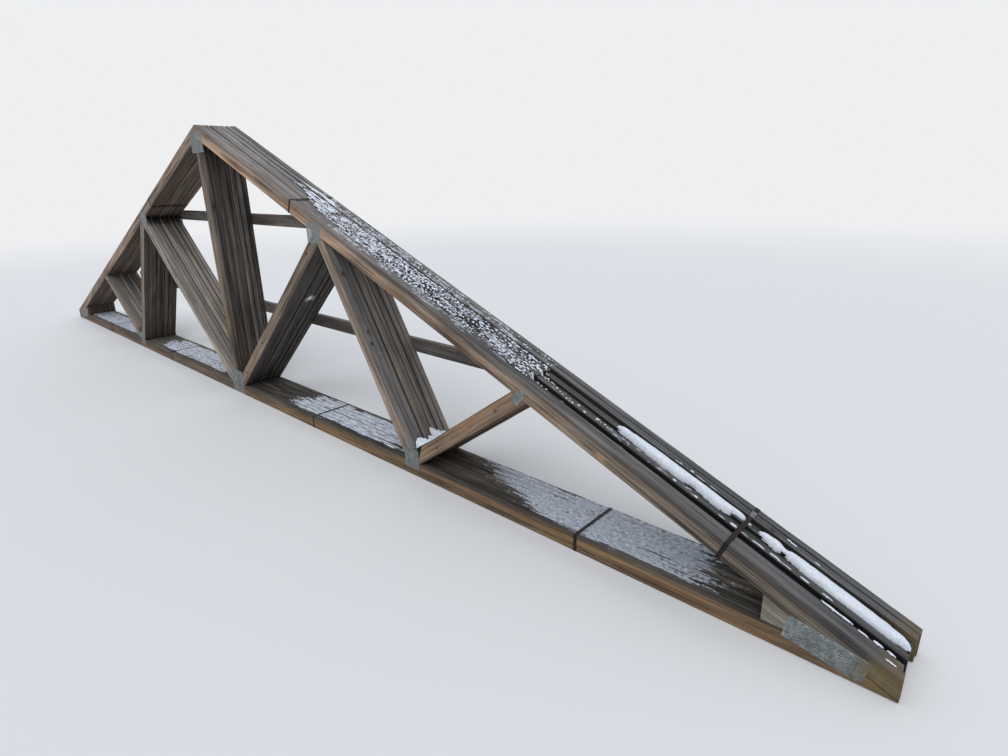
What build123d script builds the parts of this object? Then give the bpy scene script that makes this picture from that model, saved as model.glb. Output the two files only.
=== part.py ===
from build123d import *
import math
import os

# Strapped bundle of eight toothed-plate roof trusses, standing upright.
# Millimetres, +Z up. +X runs along the span, +Y from the front truss to the back one.
# The origin is the middle of the bundle's footprint, on the ground.

# One truss
HALF_SPAN = 4877.0          # 32 ft truss, heel to peak
PITCH = 5.0 / 12.0          # rise over run of the top chords
LUMBER_T = 38.0             # dressed thickness of a nominal 2x4
LUMBER_W = 89.0             # dressed width of a nominal 2x4
EASE = 2.2                  # planed off both sides of every board's long edges
HEEL_BUTT = 6.0             # upright cut left on the bottom chord's thin end
JOINT_GAP = 0.5             # open line between two boards cut to meet

# Where the centre line of each web meets the two chords, measured from the middle
INNER_WEB_FOOT = 60.0
INNER_WEB_HEAD = 1554.0
MIDDLE_WEB_HEAD = 1572.0
MIDDLE_WEB_FOOT = 2333.0
OUTER_WEB_FOOT = 2328.0
OUTER_WEB_HEAD = 3198.0
OUTER_WEB_CUT_FOOT = 2388.0 # the outer web is cut off on a line leaning out from here
OUTER_WEB_CUT_LEAN = 43.0   # by this much
OUTER_WEB_CUT_RISE = 127.0  # over this height
WEDGE_L = 467.0             # from the heel's end to the wedge's upright end

# Connector plates
PLATE_T = 0.9               # 20 gauge steel
PLATE_PEAK = (203.0, 152.0)
PLATE_TOP_INNER = (152.0, 127.0)
PLATE_TOP_OUTER = (90.0, 45.0)
PLATE_BOTTOM_CENTER = (203.0, 203.0)
PLATE_BOTTOM_MIDDLE = (127.0, 127.0)
PLATE_HEEL = (280.0, 102.0)
TOP_INNER_BACK = 48.0       # how far that plate sits toward the middle from its joint
PLATE_TOP_OUTER_TURN = 50.0
PLATE_HEEL_TURN = 11.0
PLATE_HEEL_IN = 240.0       # from the heel's end to the middle of its plate
PLATE_EDGE = 3.0            # margin from a board's edge to the plate's

# The bundle
PLIES = 8
PLY_CLEARANCE = 0.2         # between the plates of two neighbouring trusses
PLY_PITCH = LUMBER_T + 2 * PLATE_T + PLY_CLEARANCE
DEPTH = (PLIES - 1) * PLY_PITCH + LUMBER_T
SHIFT = 18.0                # greatest slip of a truss along the span
PLY_SLIP = (0.0, -0.6, -1.0, -0.4, -1.0, -0.6, 0.1, 0.3)   # share of SHIFT, front to back
SUNK_PLIES = (2, 3, 4, 5)   # these have a shallower lower board on the right
SUNK_SPLICE_OUT = 24.0      # it starts this far past the outer web's head, on the top edge
SUNK_DEPTH = 24.0           # greatest loss of depth
SUNK_SHARE = (1.0, 0.35, 1.0, 0.7)

# Straps and back boards
STRAP_W = 19.0
STRAP_T = 0.8
SEAL_L = 45.0
SEAL_T = 0.8
SEAL_LIP = 1.5              # how far a seal wraps past each edge of the strap
SEAL_NOTCH = (5.0, 1.0)     # length and depth of the crimps in its edges
SEAL_NOTCH_AT = 9.0         # from the seal's middle to each crimp
SEAL_TOP_IN = 62.0          # the lower strap's seal lies on top, this far in from the back
STRAPS_RIGHT = {"upper": 1275.0, "lower": HALF_SPAN - 621.0}
STRAPS_LEFT = {"upper": 1270.0}
SEAL_ON_TOP = "top_right_lower"
STRAPS_BOTTOM = {
    "right_outer": 3543.0,
    "right_inner": 1202.0,
    "left_inner": -1530.0,
    "left_outer": -3460.0,
}
UPPER_BACK_SHORT = 30.0     # the upper back board ends this far inside the inner webs' heads
UPPER_BACK_DROP = 5.5       # and its lower edge is this far below them
LOWER_BACK_SHORT = 150.0    # the same from the outer webs' heads, for the lower one
LOWER_BACK_DROP = 49.5
BACK_GAP = 0.2

# Values that follow
SLOPE = math.atan(PITCH)
PLUMB_W = LUMBER_W / math.cos(SLOPE)            # upright depth of a top chord
UNDER_PEAK = HEEL_BUTT + PITCH * HALF_SPAN      # underside line of the chords at the middle
PEAK = UNDER_PEAK + PLUMB_W
WEDGE_START = HALF_SPAN - WEDGE_L
SUNK_SPLICE = OUTER_WEB_HEAD + SUNK_SPLICE_OUT
FAR = 3 * HALF_SPAN
RIGHT_ANGLE = 90.0


def face_of(*points):
    """Flat face in the truss plane from (x, z) corners."""
    return make_face(Polyline(*points, close=True))


def under_z(x):
    """Height of the top chord's underside at x."""
    return UNDER_PEAK - PITCH * abs(x)


def envelope():
    """Open triangle between the chords, where the webs and wedges go."""
    floor = LUMBER_W + JOINT_GAP
    top = UNDER_PEAK - JOINT_GAP / math.cos(SLOPE)
    reach = (top - floor) / PITCH
    return face_of((-reach, floor), (reach, floor), (0, top))


def right_of(x):
    """Everything on the far side of an upright line."""
    return face_of((x, -FAR), (FAR, -FAR), (FAR, FAR), (x, FAR))


def left_of(x):
    """Everything on the near side of an upright line."""
    return face_of((-FAR, -FAR), (x, -FAR), (x, FAR), (-FAR, FAR))


def web_line(foot_x, head_x):
    """Run and rise of a web's centre line from its foot to its head."""
    return head_x - foot_x, under_z(head_x) - LUMBER_W


def strip(foot_x, head_x):
    """Uncut web: a full width strip through its two chord points."""
    foot = Vector(foot_x, LUMBER_W)
    head = Vector(head_x, under_z(head_x))
    along = (head - foot).normalized()
    side = Vector(-along.Y, along.X) * (LUMBER_W / 2)
    low = foot - along * (2 * LUMBER_W)
    high = head + along * (2 * LUMBER_W)
    corners = [low + side, high + side, high - side, low - side]
    return face_of(*[(c.X, c.Y) for c in corners])


def edge_x(foot_x, head_x, z, hand):
    """Where one edge of a web crosses height z; hand +1 is the outer edge."""
    run, rise = web_line(foot_x, head_x)
    half = LUMBER_W / 2 * math.hypot(run, rise) / rise
    return foot_x + run / rise * (z - LUMBER_W) + hand * half


def head_split():
    """Upright line where the inner and middle webs are cut to meet."""
    inner = edge_x(INNER_WEB_FOOT, INNER_WEB_HEAD, 0.0, 1)
    inner_run = edge_x(INNER_WEB_FOOT, INNER_WEB_HEAD, 1.0, 1) - inner
    middle = edge_x(MIDDLE_WEB_FOOT, MIDDLE_WEB_HEAD, 0.0, -1)
    middle_run = edge_x(MIDDLE_WEB_FOOT, MIDDLE_WEB_HEAD, 1.0, -1) - middle
    crotch_z = (middle - inner) / (inner_run - middle_run)
    return inner + inner_run * crotch_z


def king_post_face():
    """Upright middle web with a double bevel under the peak."""
    half = LUMBER_W / 2
    return envelope() & face_of((-half, 0), (half, 0), (half, PEAK), (-half, PEAK))


def inner_web_face():
    """Web from the middle of the bottom chord to the inner top joint."""
    web = strip(INNER_WEB_FOOT, INNER_WEB_HEAD) & envelope()
    web = web & right_of(LUMBER_W / 2 + JOINT_GAP)
    return web & left_of(head_split() - JOINT_GAP / 2)


def middle_web_face():
    """Web from the inner top joint down to the bottom chord joint."""
    web = strip(MIDDLE_WEB_FOOT, MIDDLE_WEB_HEAD) & envelope()
    return web & right_of(head_split() + JOINT_GAP / 2)


def outer_web_face():
    """Web from the bottom chord joint up to the outer top joint."""
    web = strip(OUTER_WEB_FOOT, OUTER_WEB_HEAD) & envelope()
    low_x = OUTER_WEB_CUT_FOOT
    high_x = low_x + OUTER_WEB_CUT_LEAN / OUTER_WEB_CUT_RISE * (FAR - LUMBER_W)
    return web & face_of((low_x, LUMBER_W), (FAR, LUMBER_W), (FAR, FAR), (high_x, FAR))


def wedge_face():
    """Heel wedge filling the corner between the two chords."""
    return envelope() & right_of(WEDGE_START)


def bottom_chord_face():
    """Right half of the bottom chord with its scarf under the top chord."""
    start = JOINT_GAP / 2
    chord = face_of((start, 0), (HALF_SPAN, 0), (HALF_SPAN, LUMBER_W), (start, LUMBER_W))
    gap = JOINT_GAP / math.cos(SLOPE)
    below = face_of((0, -FAR), (FAR, -FAR), (FAR, under_z(FAR) - gap), (0, UNDER_PEAK - gap))
    return chord & below


def top_chord_face(drop=0.0):
    """Right top chord, plumb cut at the peak and the heel; drop lowers its top edge."""
    top = PEAK - drop / math.cos(SLOPE)
    start = JOINT_GAP / 2
    return face_of(
        (start, under_z(start)),
        (HALF_SPAN, under_z(HALF_SPAN)),
        (HALF_SPAN, top - PITCH * HALF_SPAN),
        (start, top - PITCH * start),
    )


def past_splice(gap):
    """Everything further out than the square cut of the sunk boards' splice."""
    x = SUNK_SPLICE + gap * math.cos(SLOPE)
    z = PEAK - PITCH * SUNK_SPLICE - gap * math.sin(SLOPE)
    cut = Vector(x, z)
    up = Vector(math.sin(SLOPE), math.cos(SLOPE)) * FAR
    out = Vector(math.cos(SLOPE), -math.sin(SLOPE)) * FAR
    corners = [cut + up, cut - up, cut - up + out, cut + up + out]
    return face_of(*[(c.X, c.Y) for c in corners])


def eased(solid, run, rise):
    """The board with its edges along the grain, (run, rise) in the truss plane, eased."""
    grain = Axis((0, 0, 0), (run, 0, rise))
    return chamfer(solid.edges().filter_by(grain), EASE)


def sawn(face):
    """Solid piece: a truss-plane face given the lumber's thickness along +Y."""
    return extrude(Plane.XZ * face, amount=-LUMBER_T)


def board(face, run, rise):
    """Solid board with eased edges along its grain."""
    return eased(sawn(face), run, rise)


def plate_pair(size, x, z, turn=0.0):
    """Connector plates pressed on both faces of one truss."""
    width, height = size
    sheet = Rot(0, -turn, 0) * Box(width, PLATE_T, height)
    front = Pos(x, -PLATE_T / 2, z) * sheet
    back = Pos(x, LUMBER_T + PLATE_T / 2, z) * sheet
    return [front, back]


def mirrored(solids):
    """The same solids on the other side of the middle."""
    return [mirror(s, about=Plane.YZ) for s in solids]


def slip(ply):
    """How far one truss has slipped along the span."""
    return SHIFT * PLY_SLIP[ply]


def across(solids, plies=range(PLIES)):
    """Copies of one truss's pieces in the given trusses of the bundle."""
    copies = []
    for ply in plies:
        place = Pos(slip(ply), ply * PLY_PITCH, 0)
        copies += [place * s for s in solids]
    return copies


def chords(nodes):
    """The chord boards of every truss."""
    top = board(top_chord_face(), 1, -PITCH)
    bottom = board(bottom_chord_face(), 1, 0)
    upper = board(top_chord_face() - past_splice(0.0), 1, -PITCH)
    whole = [ply for ply in range(PLIES) if ply not in SUNK_PLIES]
    nodes["top_chord_left"] = across(mirrored([top]))
    nodes["top_chord_right"] = across([top], whole) + across([upper], SUNK_PLIES)
    nodes["top_chord_right_lower"] = []
    for ply, share in zip(SUNK_PLIES, SUNK_SHARE):
        lower_face = top_chord_face(SUNK_DEPTH * share) & past_splice(JOINT_GAP)
        lower = board(lower_face, 1, -PITCH)
        nodes["top_chord_right_lower"] += across([lower], [ply])
    nodes["bottom_chord_left"] = across(mirrored([bottom]))
    nodes["bottom_chord_right"] = across([bottom])


def webs(nodes):
    """The webs and heel wedges of every truss."""
    nodes["king_post"] = across([board(king_post_face(), 0, 1)])
    pieces = {
        "inner_web": board(inner_web_face(), *web_line(INNER_WEB_FOOT, INNER_WEB_HEAD)),
        "middle_web": board(middle_web_face(), *web_line(MIDDLE_WEB_FOOT, MIDDLE_WEB_HEAD)),
        "outer_web": board(outer_web_face(), *web_line(OUTER_WEB_FOOT, OUTER_WEB_HEAD)),
        "heel_wedge": sawn(wedge_face()),
    }
    for name, piece in pieces.items():
        nodes[name + "_left"] = across(mirrored([piece]))
        nodes[name + "_right"] = across([piece])


def plates(nodes):
    """The toothed connector plates of every truss."""
    peak_z = PEAK - PITCH * PLATE_PEAK[0] / 2 - PLATE_PEAK[1] / 2
    nodes["plate_peak"] = across(plate_pair(PLATE_PEAK, 0, peak_z - PLATE_EDGE))
    center_z = PLATE_BOTTOM_CENTER[1] / 2 + PLATE_EDGE
    nodes["plate_bottom_center"] = across(plate_pair(PLATE_BOTTOM_CENTER, 0, center_z))
    inner_x = (INNER_WEB_HEAD + MIDDLE_WEB_HEAD) / 2 - TOP_INNER_BACK
    middle_x = (MIDDLE_WEB_FOOT + OUTER_WEB_FOOT) / 2
    middle_z = LUMBER_W / 2 + PLATE_BOTTOM_MIDDLE[1] / 2
    outer_x = OUTER_WEB_HEAD
    outer_z = under_z(outer_x) + PLATE_EDGE
    heel_x = HALF_SPAN - PLATE_HEEL_IN
    heel_z = LUMBER_W - PLATE_EDGE
    pairs = {
        "plate_top_inner": plate_pair(PLATE_TOP_INNER, inner_x, under_z(inner_x)),
        "plate_top_outer": plate_pair(PLATE_TOP_OUTER, outer_x, outer_z, PLATE_TOP_OUTER_TURN),
        "plate_bottom_middle": plate_pair(PLATE_BOTTOM_MIDDLE, middle_x, middle_z),
        "plate_heel": plate_pair(PLATE_HEEL, heel_x, heel_z, -PLATE_HEEL_TURN),
    }
    for name, pair in pairs.items():
        nodes[name + "_left"] = across(mirrored(pair))
        nodes[name + "_right"] = across(pair)


def cross(o, a, b):
    """Turn direction of three points."""
    return (a[0] - o[0]) * (b[1] - o[1]) - (a[1] - o[1]) * (b[0] - o[0])


def half_hull(points):
    """One side of the convex outline of sorted points."""
    line = []
    for point in points:
        while len(line) > 1 and cross(line[-2], line[-1], point) <= 0:
            line.pop()
        line.append(point)
    return line[:-1]


def tight_outline(points):
    """Convex outline that a strap pulled tight takes round the boards."""
    ordered = sorted(set(points))
    return half_hull(ordered) + half_hull(ordered[::-1])


def strap(outline, place):
    """Closed strap on a tight outline of (across, up) corners."""
    inside = make_face(Polyline(*outline, close=True))
    outside = offset(inside, amount=STRAP_T, kind=Kind.INTERSECTION)
    return place * extrude(outside - inside, amount=STRAP_W / 2, both=True)


def seal(turn):
    """Crimped seal over a strap's run through the origin, facing outward at turn degrees."""
    width = STRAP_W + 2 * SEAL_LIP
    thick = STRAP_T + SEAL_T
    sleeve = Pos(thick / 2, 0, 0) * Box(thick, SEAL_L, width)
    sleeve -= Pos(STRAP_T / 2, 0, 0) * Box(STRAP_T, SEAL_L, STRAP_W)
    length, depth = SEAL_NOTCH
    notch = Pos(thick / 2, 0, 0) * Box(thick, length, 2 * depth)
    for along in (-SEAL_NOTCH_AT, SEAL_NOTCH_AT):
        for edge in (-width / 2, width / 2):
            sleeve -= Pos(0, along, edge) * notch
    return Rot(0, 0, turn) * sleeve


def back_seal(up, place):
    """Seal on a strap's run down the back of the bundle, at height up."""
    return place * Pos(DEPTH, up, 0) * seal(0)


def top_seal(outline, place):
    """Seal on a strap's run across the top, near the back of the bundle."""
    middle = DEPTH - SEAL_TOP_IN
    upper = [c for c in outline if c[1] > -LUMBER_W / 2]
    front = max(c for c in upper if c[0] <= middle)
    back = min(c for c in upper if c[0] > middle)
    lean = (back[1] - front[1]) / (back[0] - front[0])
    up = front[1] + lean * (middle - front[0])
    return place * Pos(middle, up, 0) * seal(RIGHT_ANGLE + math.degrees(math.atan(lean)))


def board_section(ply, low, high):
    """Section corners (across, up) of one truss's eased board."""
    near = ply * PLY_PITCH
    far = near + LUMBER_T
    corners = []
    for y, inward in ((near, EASE), (far, -EASE)):
        corners += [(y + inward, low), (y, low + EASE)]
        corners += [(y, high - EASE), (y + inward, high)]
    return corners


def top_section(hand, x):
    """Section corners of the top chords at x, upward from the nominal top edge."""
    corners = []
    for ply in range(PLIES):
        rise = hand * slip(ply) * math.sin(SLOPE)
        drop = 0.0
        if hand > 0 and x > SUNK_SPLICE and ply in SUNK_PLIES:
            drop = SUNK_DEPTH * SUNK_SHARE[SUNK_PLIES.index(ply)]
        corners += board_section(ply, rise - LUMBER_W, rise - drop)
    return corners


def top_strap(nodes, name, hand, x):
    """Strap square round the top chords of all the trusses."""
    along = Vector(math.cos(SLOPE), 0, -hand * math.sin(SLOPE))
    place = Location(Plane(origin=(hand * x, 0, PEAK - PITCH * x), x_dir=(0, 1, 0), z_dir=along))
    outline = tight_outline(top_section(hand, x))
    nodes["strap_" + name] = [strap(outline, place)]
    if name == SEAL_ON_TOP:
        nodes["seal_" + name] = [top_seal(outline, place)]
    else:
        nodes["seal_" + name] = [back_seal(-LUMBER_W / 2, place)]


def bottom_strap(nodes, name, x):
    """Strap square round the bottom chords of all the trusses."""
    place = Location(Plane(origin=(x, 0, 0), x_dir=(0, 1, 0), z_dir=(1, 0, 0)))
    corners = board_section(0, 0.0, LUMBER_W) + board_section(PLIES - 1, 0.0, LUMBER_W)
    nodes["strap_" + name] = [strap(tight_outline(corners), place)]
    nodes["seal_" + name] = [back_seal(LUMBER_W / 2, place)]


def straps(nodes):
    """Every strap with its seal."""
    for name, x in STRAPS_RIGHT.items():
        top_strap(nodes, "top_right_" + name, 1, x)
    for name, x in STRAPS_LEFT.items():
        top_strap(nodes, "top_left_" + name, -1, x)
    for name, x in STRAPS_BOTTOM.items():
        bottom_strap(nodes, "bottom_" + name, x)


def back_boards(nodes):
    """Two long level boards fixed across the back truss."""
    boards = {
        "back_board_upper": (INNER_WEB_HEAD, UPPER_BACK_SHORT, UPPER_BACK_DROP, PLATE_T),
        "back_board_lower": (OUTER_WEB_HEAD, LOWER_BACK_SHORT, LOWER_BACK_DROP, 0.0),
    }
    for name, (joint_x, short, drop, proud) in boards.items():
        plain = Box(2 * (joint_x - short), LUMBER_T, LUMBER_W)
        y = DEPTH + proud + BACK_GAP + LUMBER_T / 2
        z = under_z(joint_x) - drop + LUMBER_W / 2
        nodes[name] = [Pos(0, y, z) * eased(plain, 1, 0)]


def build():
    """Every node of the bundle, in its stored place."""
    nodes = {}
    chords(nodes)
    webs(nodes)
    plates(nodes)
    straps(nodes)
    back_boards(nodes)
    front = PLATE_T
    back = DEPTH + PLATE_T + BACK_GAP + LUMBER_T
    stand = Pos(0, (front - back) / 2, STRAP_T)
    return {name: Compound(children=[stand * s for s in solids]) for name, solids in nodes.items()}


os.makedirs("parts", exist_ok=True)
for node_name, shape in build().items():
    export_step(shape, os.path.join("parts", node_name + ".step"))
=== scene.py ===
"""Looks of a strapped bundle of toothed-plate roof trusses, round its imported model.

Metres, +Z up. +X runs along the span and +Y from the front truss to the back one.
"""

import logging
import math
from dataclasses import dataclass, replace
from enum import Enum
from typing import Any, Callable, Sequence, Union

import bmesh
import bpy
from mathutils import Euler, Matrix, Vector, noise


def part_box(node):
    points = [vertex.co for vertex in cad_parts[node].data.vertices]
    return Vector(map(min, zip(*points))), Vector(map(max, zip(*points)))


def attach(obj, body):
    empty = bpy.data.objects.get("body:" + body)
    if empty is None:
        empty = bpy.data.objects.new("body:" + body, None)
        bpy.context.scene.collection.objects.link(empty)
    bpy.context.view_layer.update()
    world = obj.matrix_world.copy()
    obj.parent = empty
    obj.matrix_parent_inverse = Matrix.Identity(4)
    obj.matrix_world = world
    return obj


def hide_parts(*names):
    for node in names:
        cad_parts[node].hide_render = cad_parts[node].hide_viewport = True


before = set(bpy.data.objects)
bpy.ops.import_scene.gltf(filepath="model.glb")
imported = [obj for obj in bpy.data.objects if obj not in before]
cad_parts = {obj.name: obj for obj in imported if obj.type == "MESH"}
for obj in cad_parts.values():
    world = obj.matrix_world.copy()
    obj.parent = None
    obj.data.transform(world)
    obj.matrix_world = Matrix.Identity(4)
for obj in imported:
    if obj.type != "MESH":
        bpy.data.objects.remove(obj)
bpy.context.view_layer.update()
LOG = logging.getLogger("truss_bundle")

BODY = "root"
PLIES = 8
LAST_PLY_END = PLIES - 0.05
LUMBER_T = 0.038
LUMBER_W = 0.089
FRONT_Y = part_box("bottom_chord_left")[0].y
BACK_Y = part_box("bottom_chord_left")[1].y
PLY_PITCH = (BACK_Y - FRONT_Y - LUMBER_T) / (PLIES - 1)
ROOF_SLOPE = math.atan(5 / 12)
ACROSS_PLIES = Vector((0, 1, 0))
UP = Vector((0, 0, 1))
WELD_GAP = 1e-5
FLAT_ANGLE = math.radians(1)

Colour = tuple[float, float, float]
Mesh = bmesh.types.BMesh
Vert = bmesh.types.BMVert
Place = tuple[float, float]


def rgb(red: int, green: int, blue: int) -> Colour:
    """Linear colour of a screen colour.

    Args:
        red: Red, 0 to 255.
        green: Green, 0 to 255.
        blue: Blue, 0 to 255.

    Returns:
        The colour as shaders take it.
    """
    shares = [channel / 255 for channel in (red, green, blue)]
    return tuple(c / 12.92 if c <= 0.04045 else ((c + 0.055) / 1.055) ** 2.4 for c in shares)


class Slot(Enum):
    """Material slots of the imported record."""

    LUMBER = "weathered_lumber"
    DARK_LUMBER = "dark_lumber"
    PLATE = "galvanised_plate"


class Dusting(Enum):
    """Kinds of frost: clumps for each metre, and how softly they end."""

    FINE = (105.0, 0.11)
    STREAKED = (90.0, 0.06)
    CLUMPED = (70.0, 0.035)


class Value:
    """A number, vector or colour on its way through a shader tree, with arithmetic."""

    def __init__(self, shade: "Shade", socket: bpy.types.NodeSocket) -> None:
        """Takes the tree and the socket that puts the value out."""
        self.shade, self.socket = shade, socket

    def __add__(self, other: "Feed") -> "Value":
        """The sum with another number."""
        return self.shade.math("ADD", self, other)

    def __sub__(self, other: "Feed") -> "Value":
        """This number less another."""
        return self.shade.math("SUBTRACT", self, other)

    def __rsub__(self, other: float) -> "Value":
        """A plain number less this one."""
        return self.shade.math("SUBTRACT", other, self)

    def __mul__(self, other: "Feed") -> "Value":
        """The product with another number."""
        return self.shade.math("MULTIPLY", self, other)

    def __truediv__(self, other: "Feed") -> "Value":
        """This number divided by another."""
        return self.shade.math("DIVIDE", self, other)

    def __abs__(self) -> "Value":
        """The number without its sign."""
        return self.shade.math("ABSOLUTE", self)

    def times(self, factor: "Feed", more: "Feed") -> "Value":
        """The product with a factor, and some more added."""
        return self.shade.math("MULTIPLY_ADD", self, factor, more)

    def ramp(self, low: "Feed", high: "Feed", start: float = 0.0, end: float = 1.0) -> "Value":
        """Moves a number smoothly from one level to another.

        Args:
            low: Where the change begins.
            high: Where it ends.
            start: The result below low.
            end: The result above high.

        Returns:
            The result.
        """
        made = self.shade.node("MapRange", interpolation_type="SMOOTHSTEP")
        return self.shade.fed(made, (self, low, high, start, end))


Feed = Union[Value, float, tuple]
Feeds = Union[Sequence[Feed], dict[Any, Feed]]


class Shade:
    """Adds nodes to one shader tree and joins them up."""

    def __init__(self, tree: bpy.types.NodeTree) -> None:
        """Takes the tree to work in."""
        self.tree = tree

    def node(self, kind: str, **settings: Any) -> bpy.types.Node:
        """Adds a node.

        Args:
            kind: The node's type, without its ShaderNode prefix.
            **settings: Its properties.

        Returns:
            The new node.
        """
        made = self.tree.nodes.new("ShaderNode" + kind)
        for key, value in settings.items():
            setattr(made, key, value)
        return made

    def feed(self, socket: bpy.types.NodeSocket, value: Feed) -> None:
        """Links a value to an input, or sets the input to a plain value.

        Args:
            socket: The input.
            value: The value.
        """
        if isinstance(value, Value):
            self.tree.links.new(value.socket, socket)
        else:
            socket.default_value = (*value, 1.0) if socket.type == "RGBA" else value

    def fed(self, node: bpy.types.Node, values: Feeds, output: Any = 0) -> Value:
        """Feeds a node's inputs.

        Args:
            node: The node.
            values: The values in the inputs' order, or by the inputs' names or numbers.
            output: Name or number of the output to read.

        Returns:
            The output.
        """
        pairs = values.items() if isinstance(values, dict) else enumerate(values)
        for key, value in pairs:
            self.feed(node.inputs[key], value)
        return Value(self, node.outputs[output])

    def math(self, operation: str, *values: Feed, clamp: bool = False) -> Value:
        """Does arithmetic on numbers; clamp keeps the result between 0 and 1."""
        return self.fed(self.node("Math", operation=operation, use_clamp=clamp), values)

    def vector(self, operation: str, *values: Feed) -> Value:
        """Does arithmetic on vectors.

        Args:
            operation: The operation's name.
            *values: The vectors.

        Returns:
            The result, a number for a dot product or a length.
        """
        made = self.node("VectorMath", operation=operation)
        output = "Value" if operation in ("DOT_PRODUCT", "LENGTH") else "Vector"
        return self.fed(made, dict(zip((0, "Scale"), values)) if operation == "SCALE" else values, output)

    def joined(self, x: Feed, y: Feed, z: Feed = 0.0) -> Value:
        """Makes a vector of three numbers."""
        return self.fed(self.node("CombineXYZ"), (x, y, z))

    def split(self, value: Value) -> list[Value]:
        """Takes a vector apart.

        Args:
            value: The vector.

        Returns:
            Its three numbers.
        """
        made = self.node("SeparateXYZ")
        self.feed(made.inputs[0], value)
        return [Value(self, output) for output in made.outputs]

    def mix(self, share: Feed, first: Feed, second: Feed, blend: str = "MIX") -> Value:
        """Mixes two colours, with a share of the second."""
        made = self.node("Mix", data_type="RGBA", blend_type=blend)
        return self.fed(made, {"Factor": share, 6: first, 7: second}, 2)

    def cover(self, colour: Feed, *layers: tuple[Feed, Feed]) -> Feed:
        """Lays colours over one another.

        Args:
            colour: The lowest colour.
            *layers: Each share and the colour that it lays on.

        Returns:
            The colour on top.
        """
        for share, over in layers:
            colour = self.mix(share, colour, over)
        return colour

    def noise(self, at: Feed, scale: Feed, detail: float = 2.0, rough: float = 0.5) -> Value:
        """Reads soft noise.

        Args:
            at: The place, in its own units.
            scale: Features for each unit, or for each axis.
            detail: How many octaves.
            rough: How strong the fine ones are.

        Returns:
            A number about one half.
        """
        if isinstance(scale, tuple):
            at, scale = self.vector("MULTIPLY", at, scale), 1.0
        values = {"Vector": at, "Scale": scale, "Detail": detail, "Roughness": rough}
        return self.fed(self.node("TexNoise"), values)

    def cells(self, at: Feed, scale: Feed) -> tuple[Value, Value]:
        """Reads a cell pattern: distance to the nearest point, and that cell's own number.

        Args:
            at: The place.
            scale: Cells for each unit.

        Returns:
            The distance and the number.
        """
        made = self.node("TexVoronoi")
        distance = self.fed(made, {"Vector": at, "Scale": scale}, "Distance")
        return distance, self.split(Value(self, made.outputs["Color"]))[0]

    def lottery(self, at: Value, output: str) -> Value:
        """Draws a fixed chance value for a number."""
        return self.fed(self.node("TexWhiteNoise", noise_dimensions="1D"), {"W": at}, output)

    def place(self) -> Value:
        """The shaded point, in the bundle's frame."""
        return Value(self, self.node("TexCoord").outputs["Object"])

    def normal(self) -> Value:
        """The surface's plain normal."""
        return Value(self, self.node("NewGeometry").outputs["True Normal"])

    def group(self, name: str, finish: Any, **more: Feed) -> dict[str, Value]:
        """Places a node group and feeds it from a finish.

        Args:
            name: The group's name.
            finish: What has a field for every input that is not given here.
            **more: The other inputs.

        Returns:
            The group's outputs.
        """
        made = self.node("Group", node_tree=bpy.data.node_groups[name])
        for socket in made.inputs:
            self.feed(socket, more[socket.name] if socket.name in more else getattr(finish, socket.name))
        return {socket.name: Value(self, socket) for socket in made.outputs}


class Group(Shade):
    """A shader node group, with its inputs by name and its outputs."""

    OUTPUTS = {"colour": "Color", "rough": "Float", "height": "Float"}

    def __init__(self, name: str, **inputs: str) -> None:
        """Starts the group.

        Args:
            name: The group's name.
            **inputs: The names of the inputs of each kind.
        """
        super().__init__(bpy.data.node_groups.new(name, "ShaderNodeTree"))
        for kind, labels in inputs.items():
            for label in labels.split():
                self.tree.interface.new_socket(label, in_out="INPUT", socket_type="NodeSocket" + kind)
        self.source = self.tree.nodes.new("NodeGroupInput").outputs

    def __getitem__(self, label: str) -> Value:
        """One of the group's inputs."""
        return Value(self, self.source[label])

    def put(self, **values: Feed) -> None:
        """Puts out the group's results."""
        for label in values:
            kind = "NodeSocket" + Group.OUTPUTS[label]
            self.tree.interface.new_socket(label, in_out="OUTPUT", socket_type=kind)
        sink = self.tree.nodes.new("NodeGroupOutput").inputs
        for label, value in values.items():
            self.feed(sink[label], value)


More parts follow.
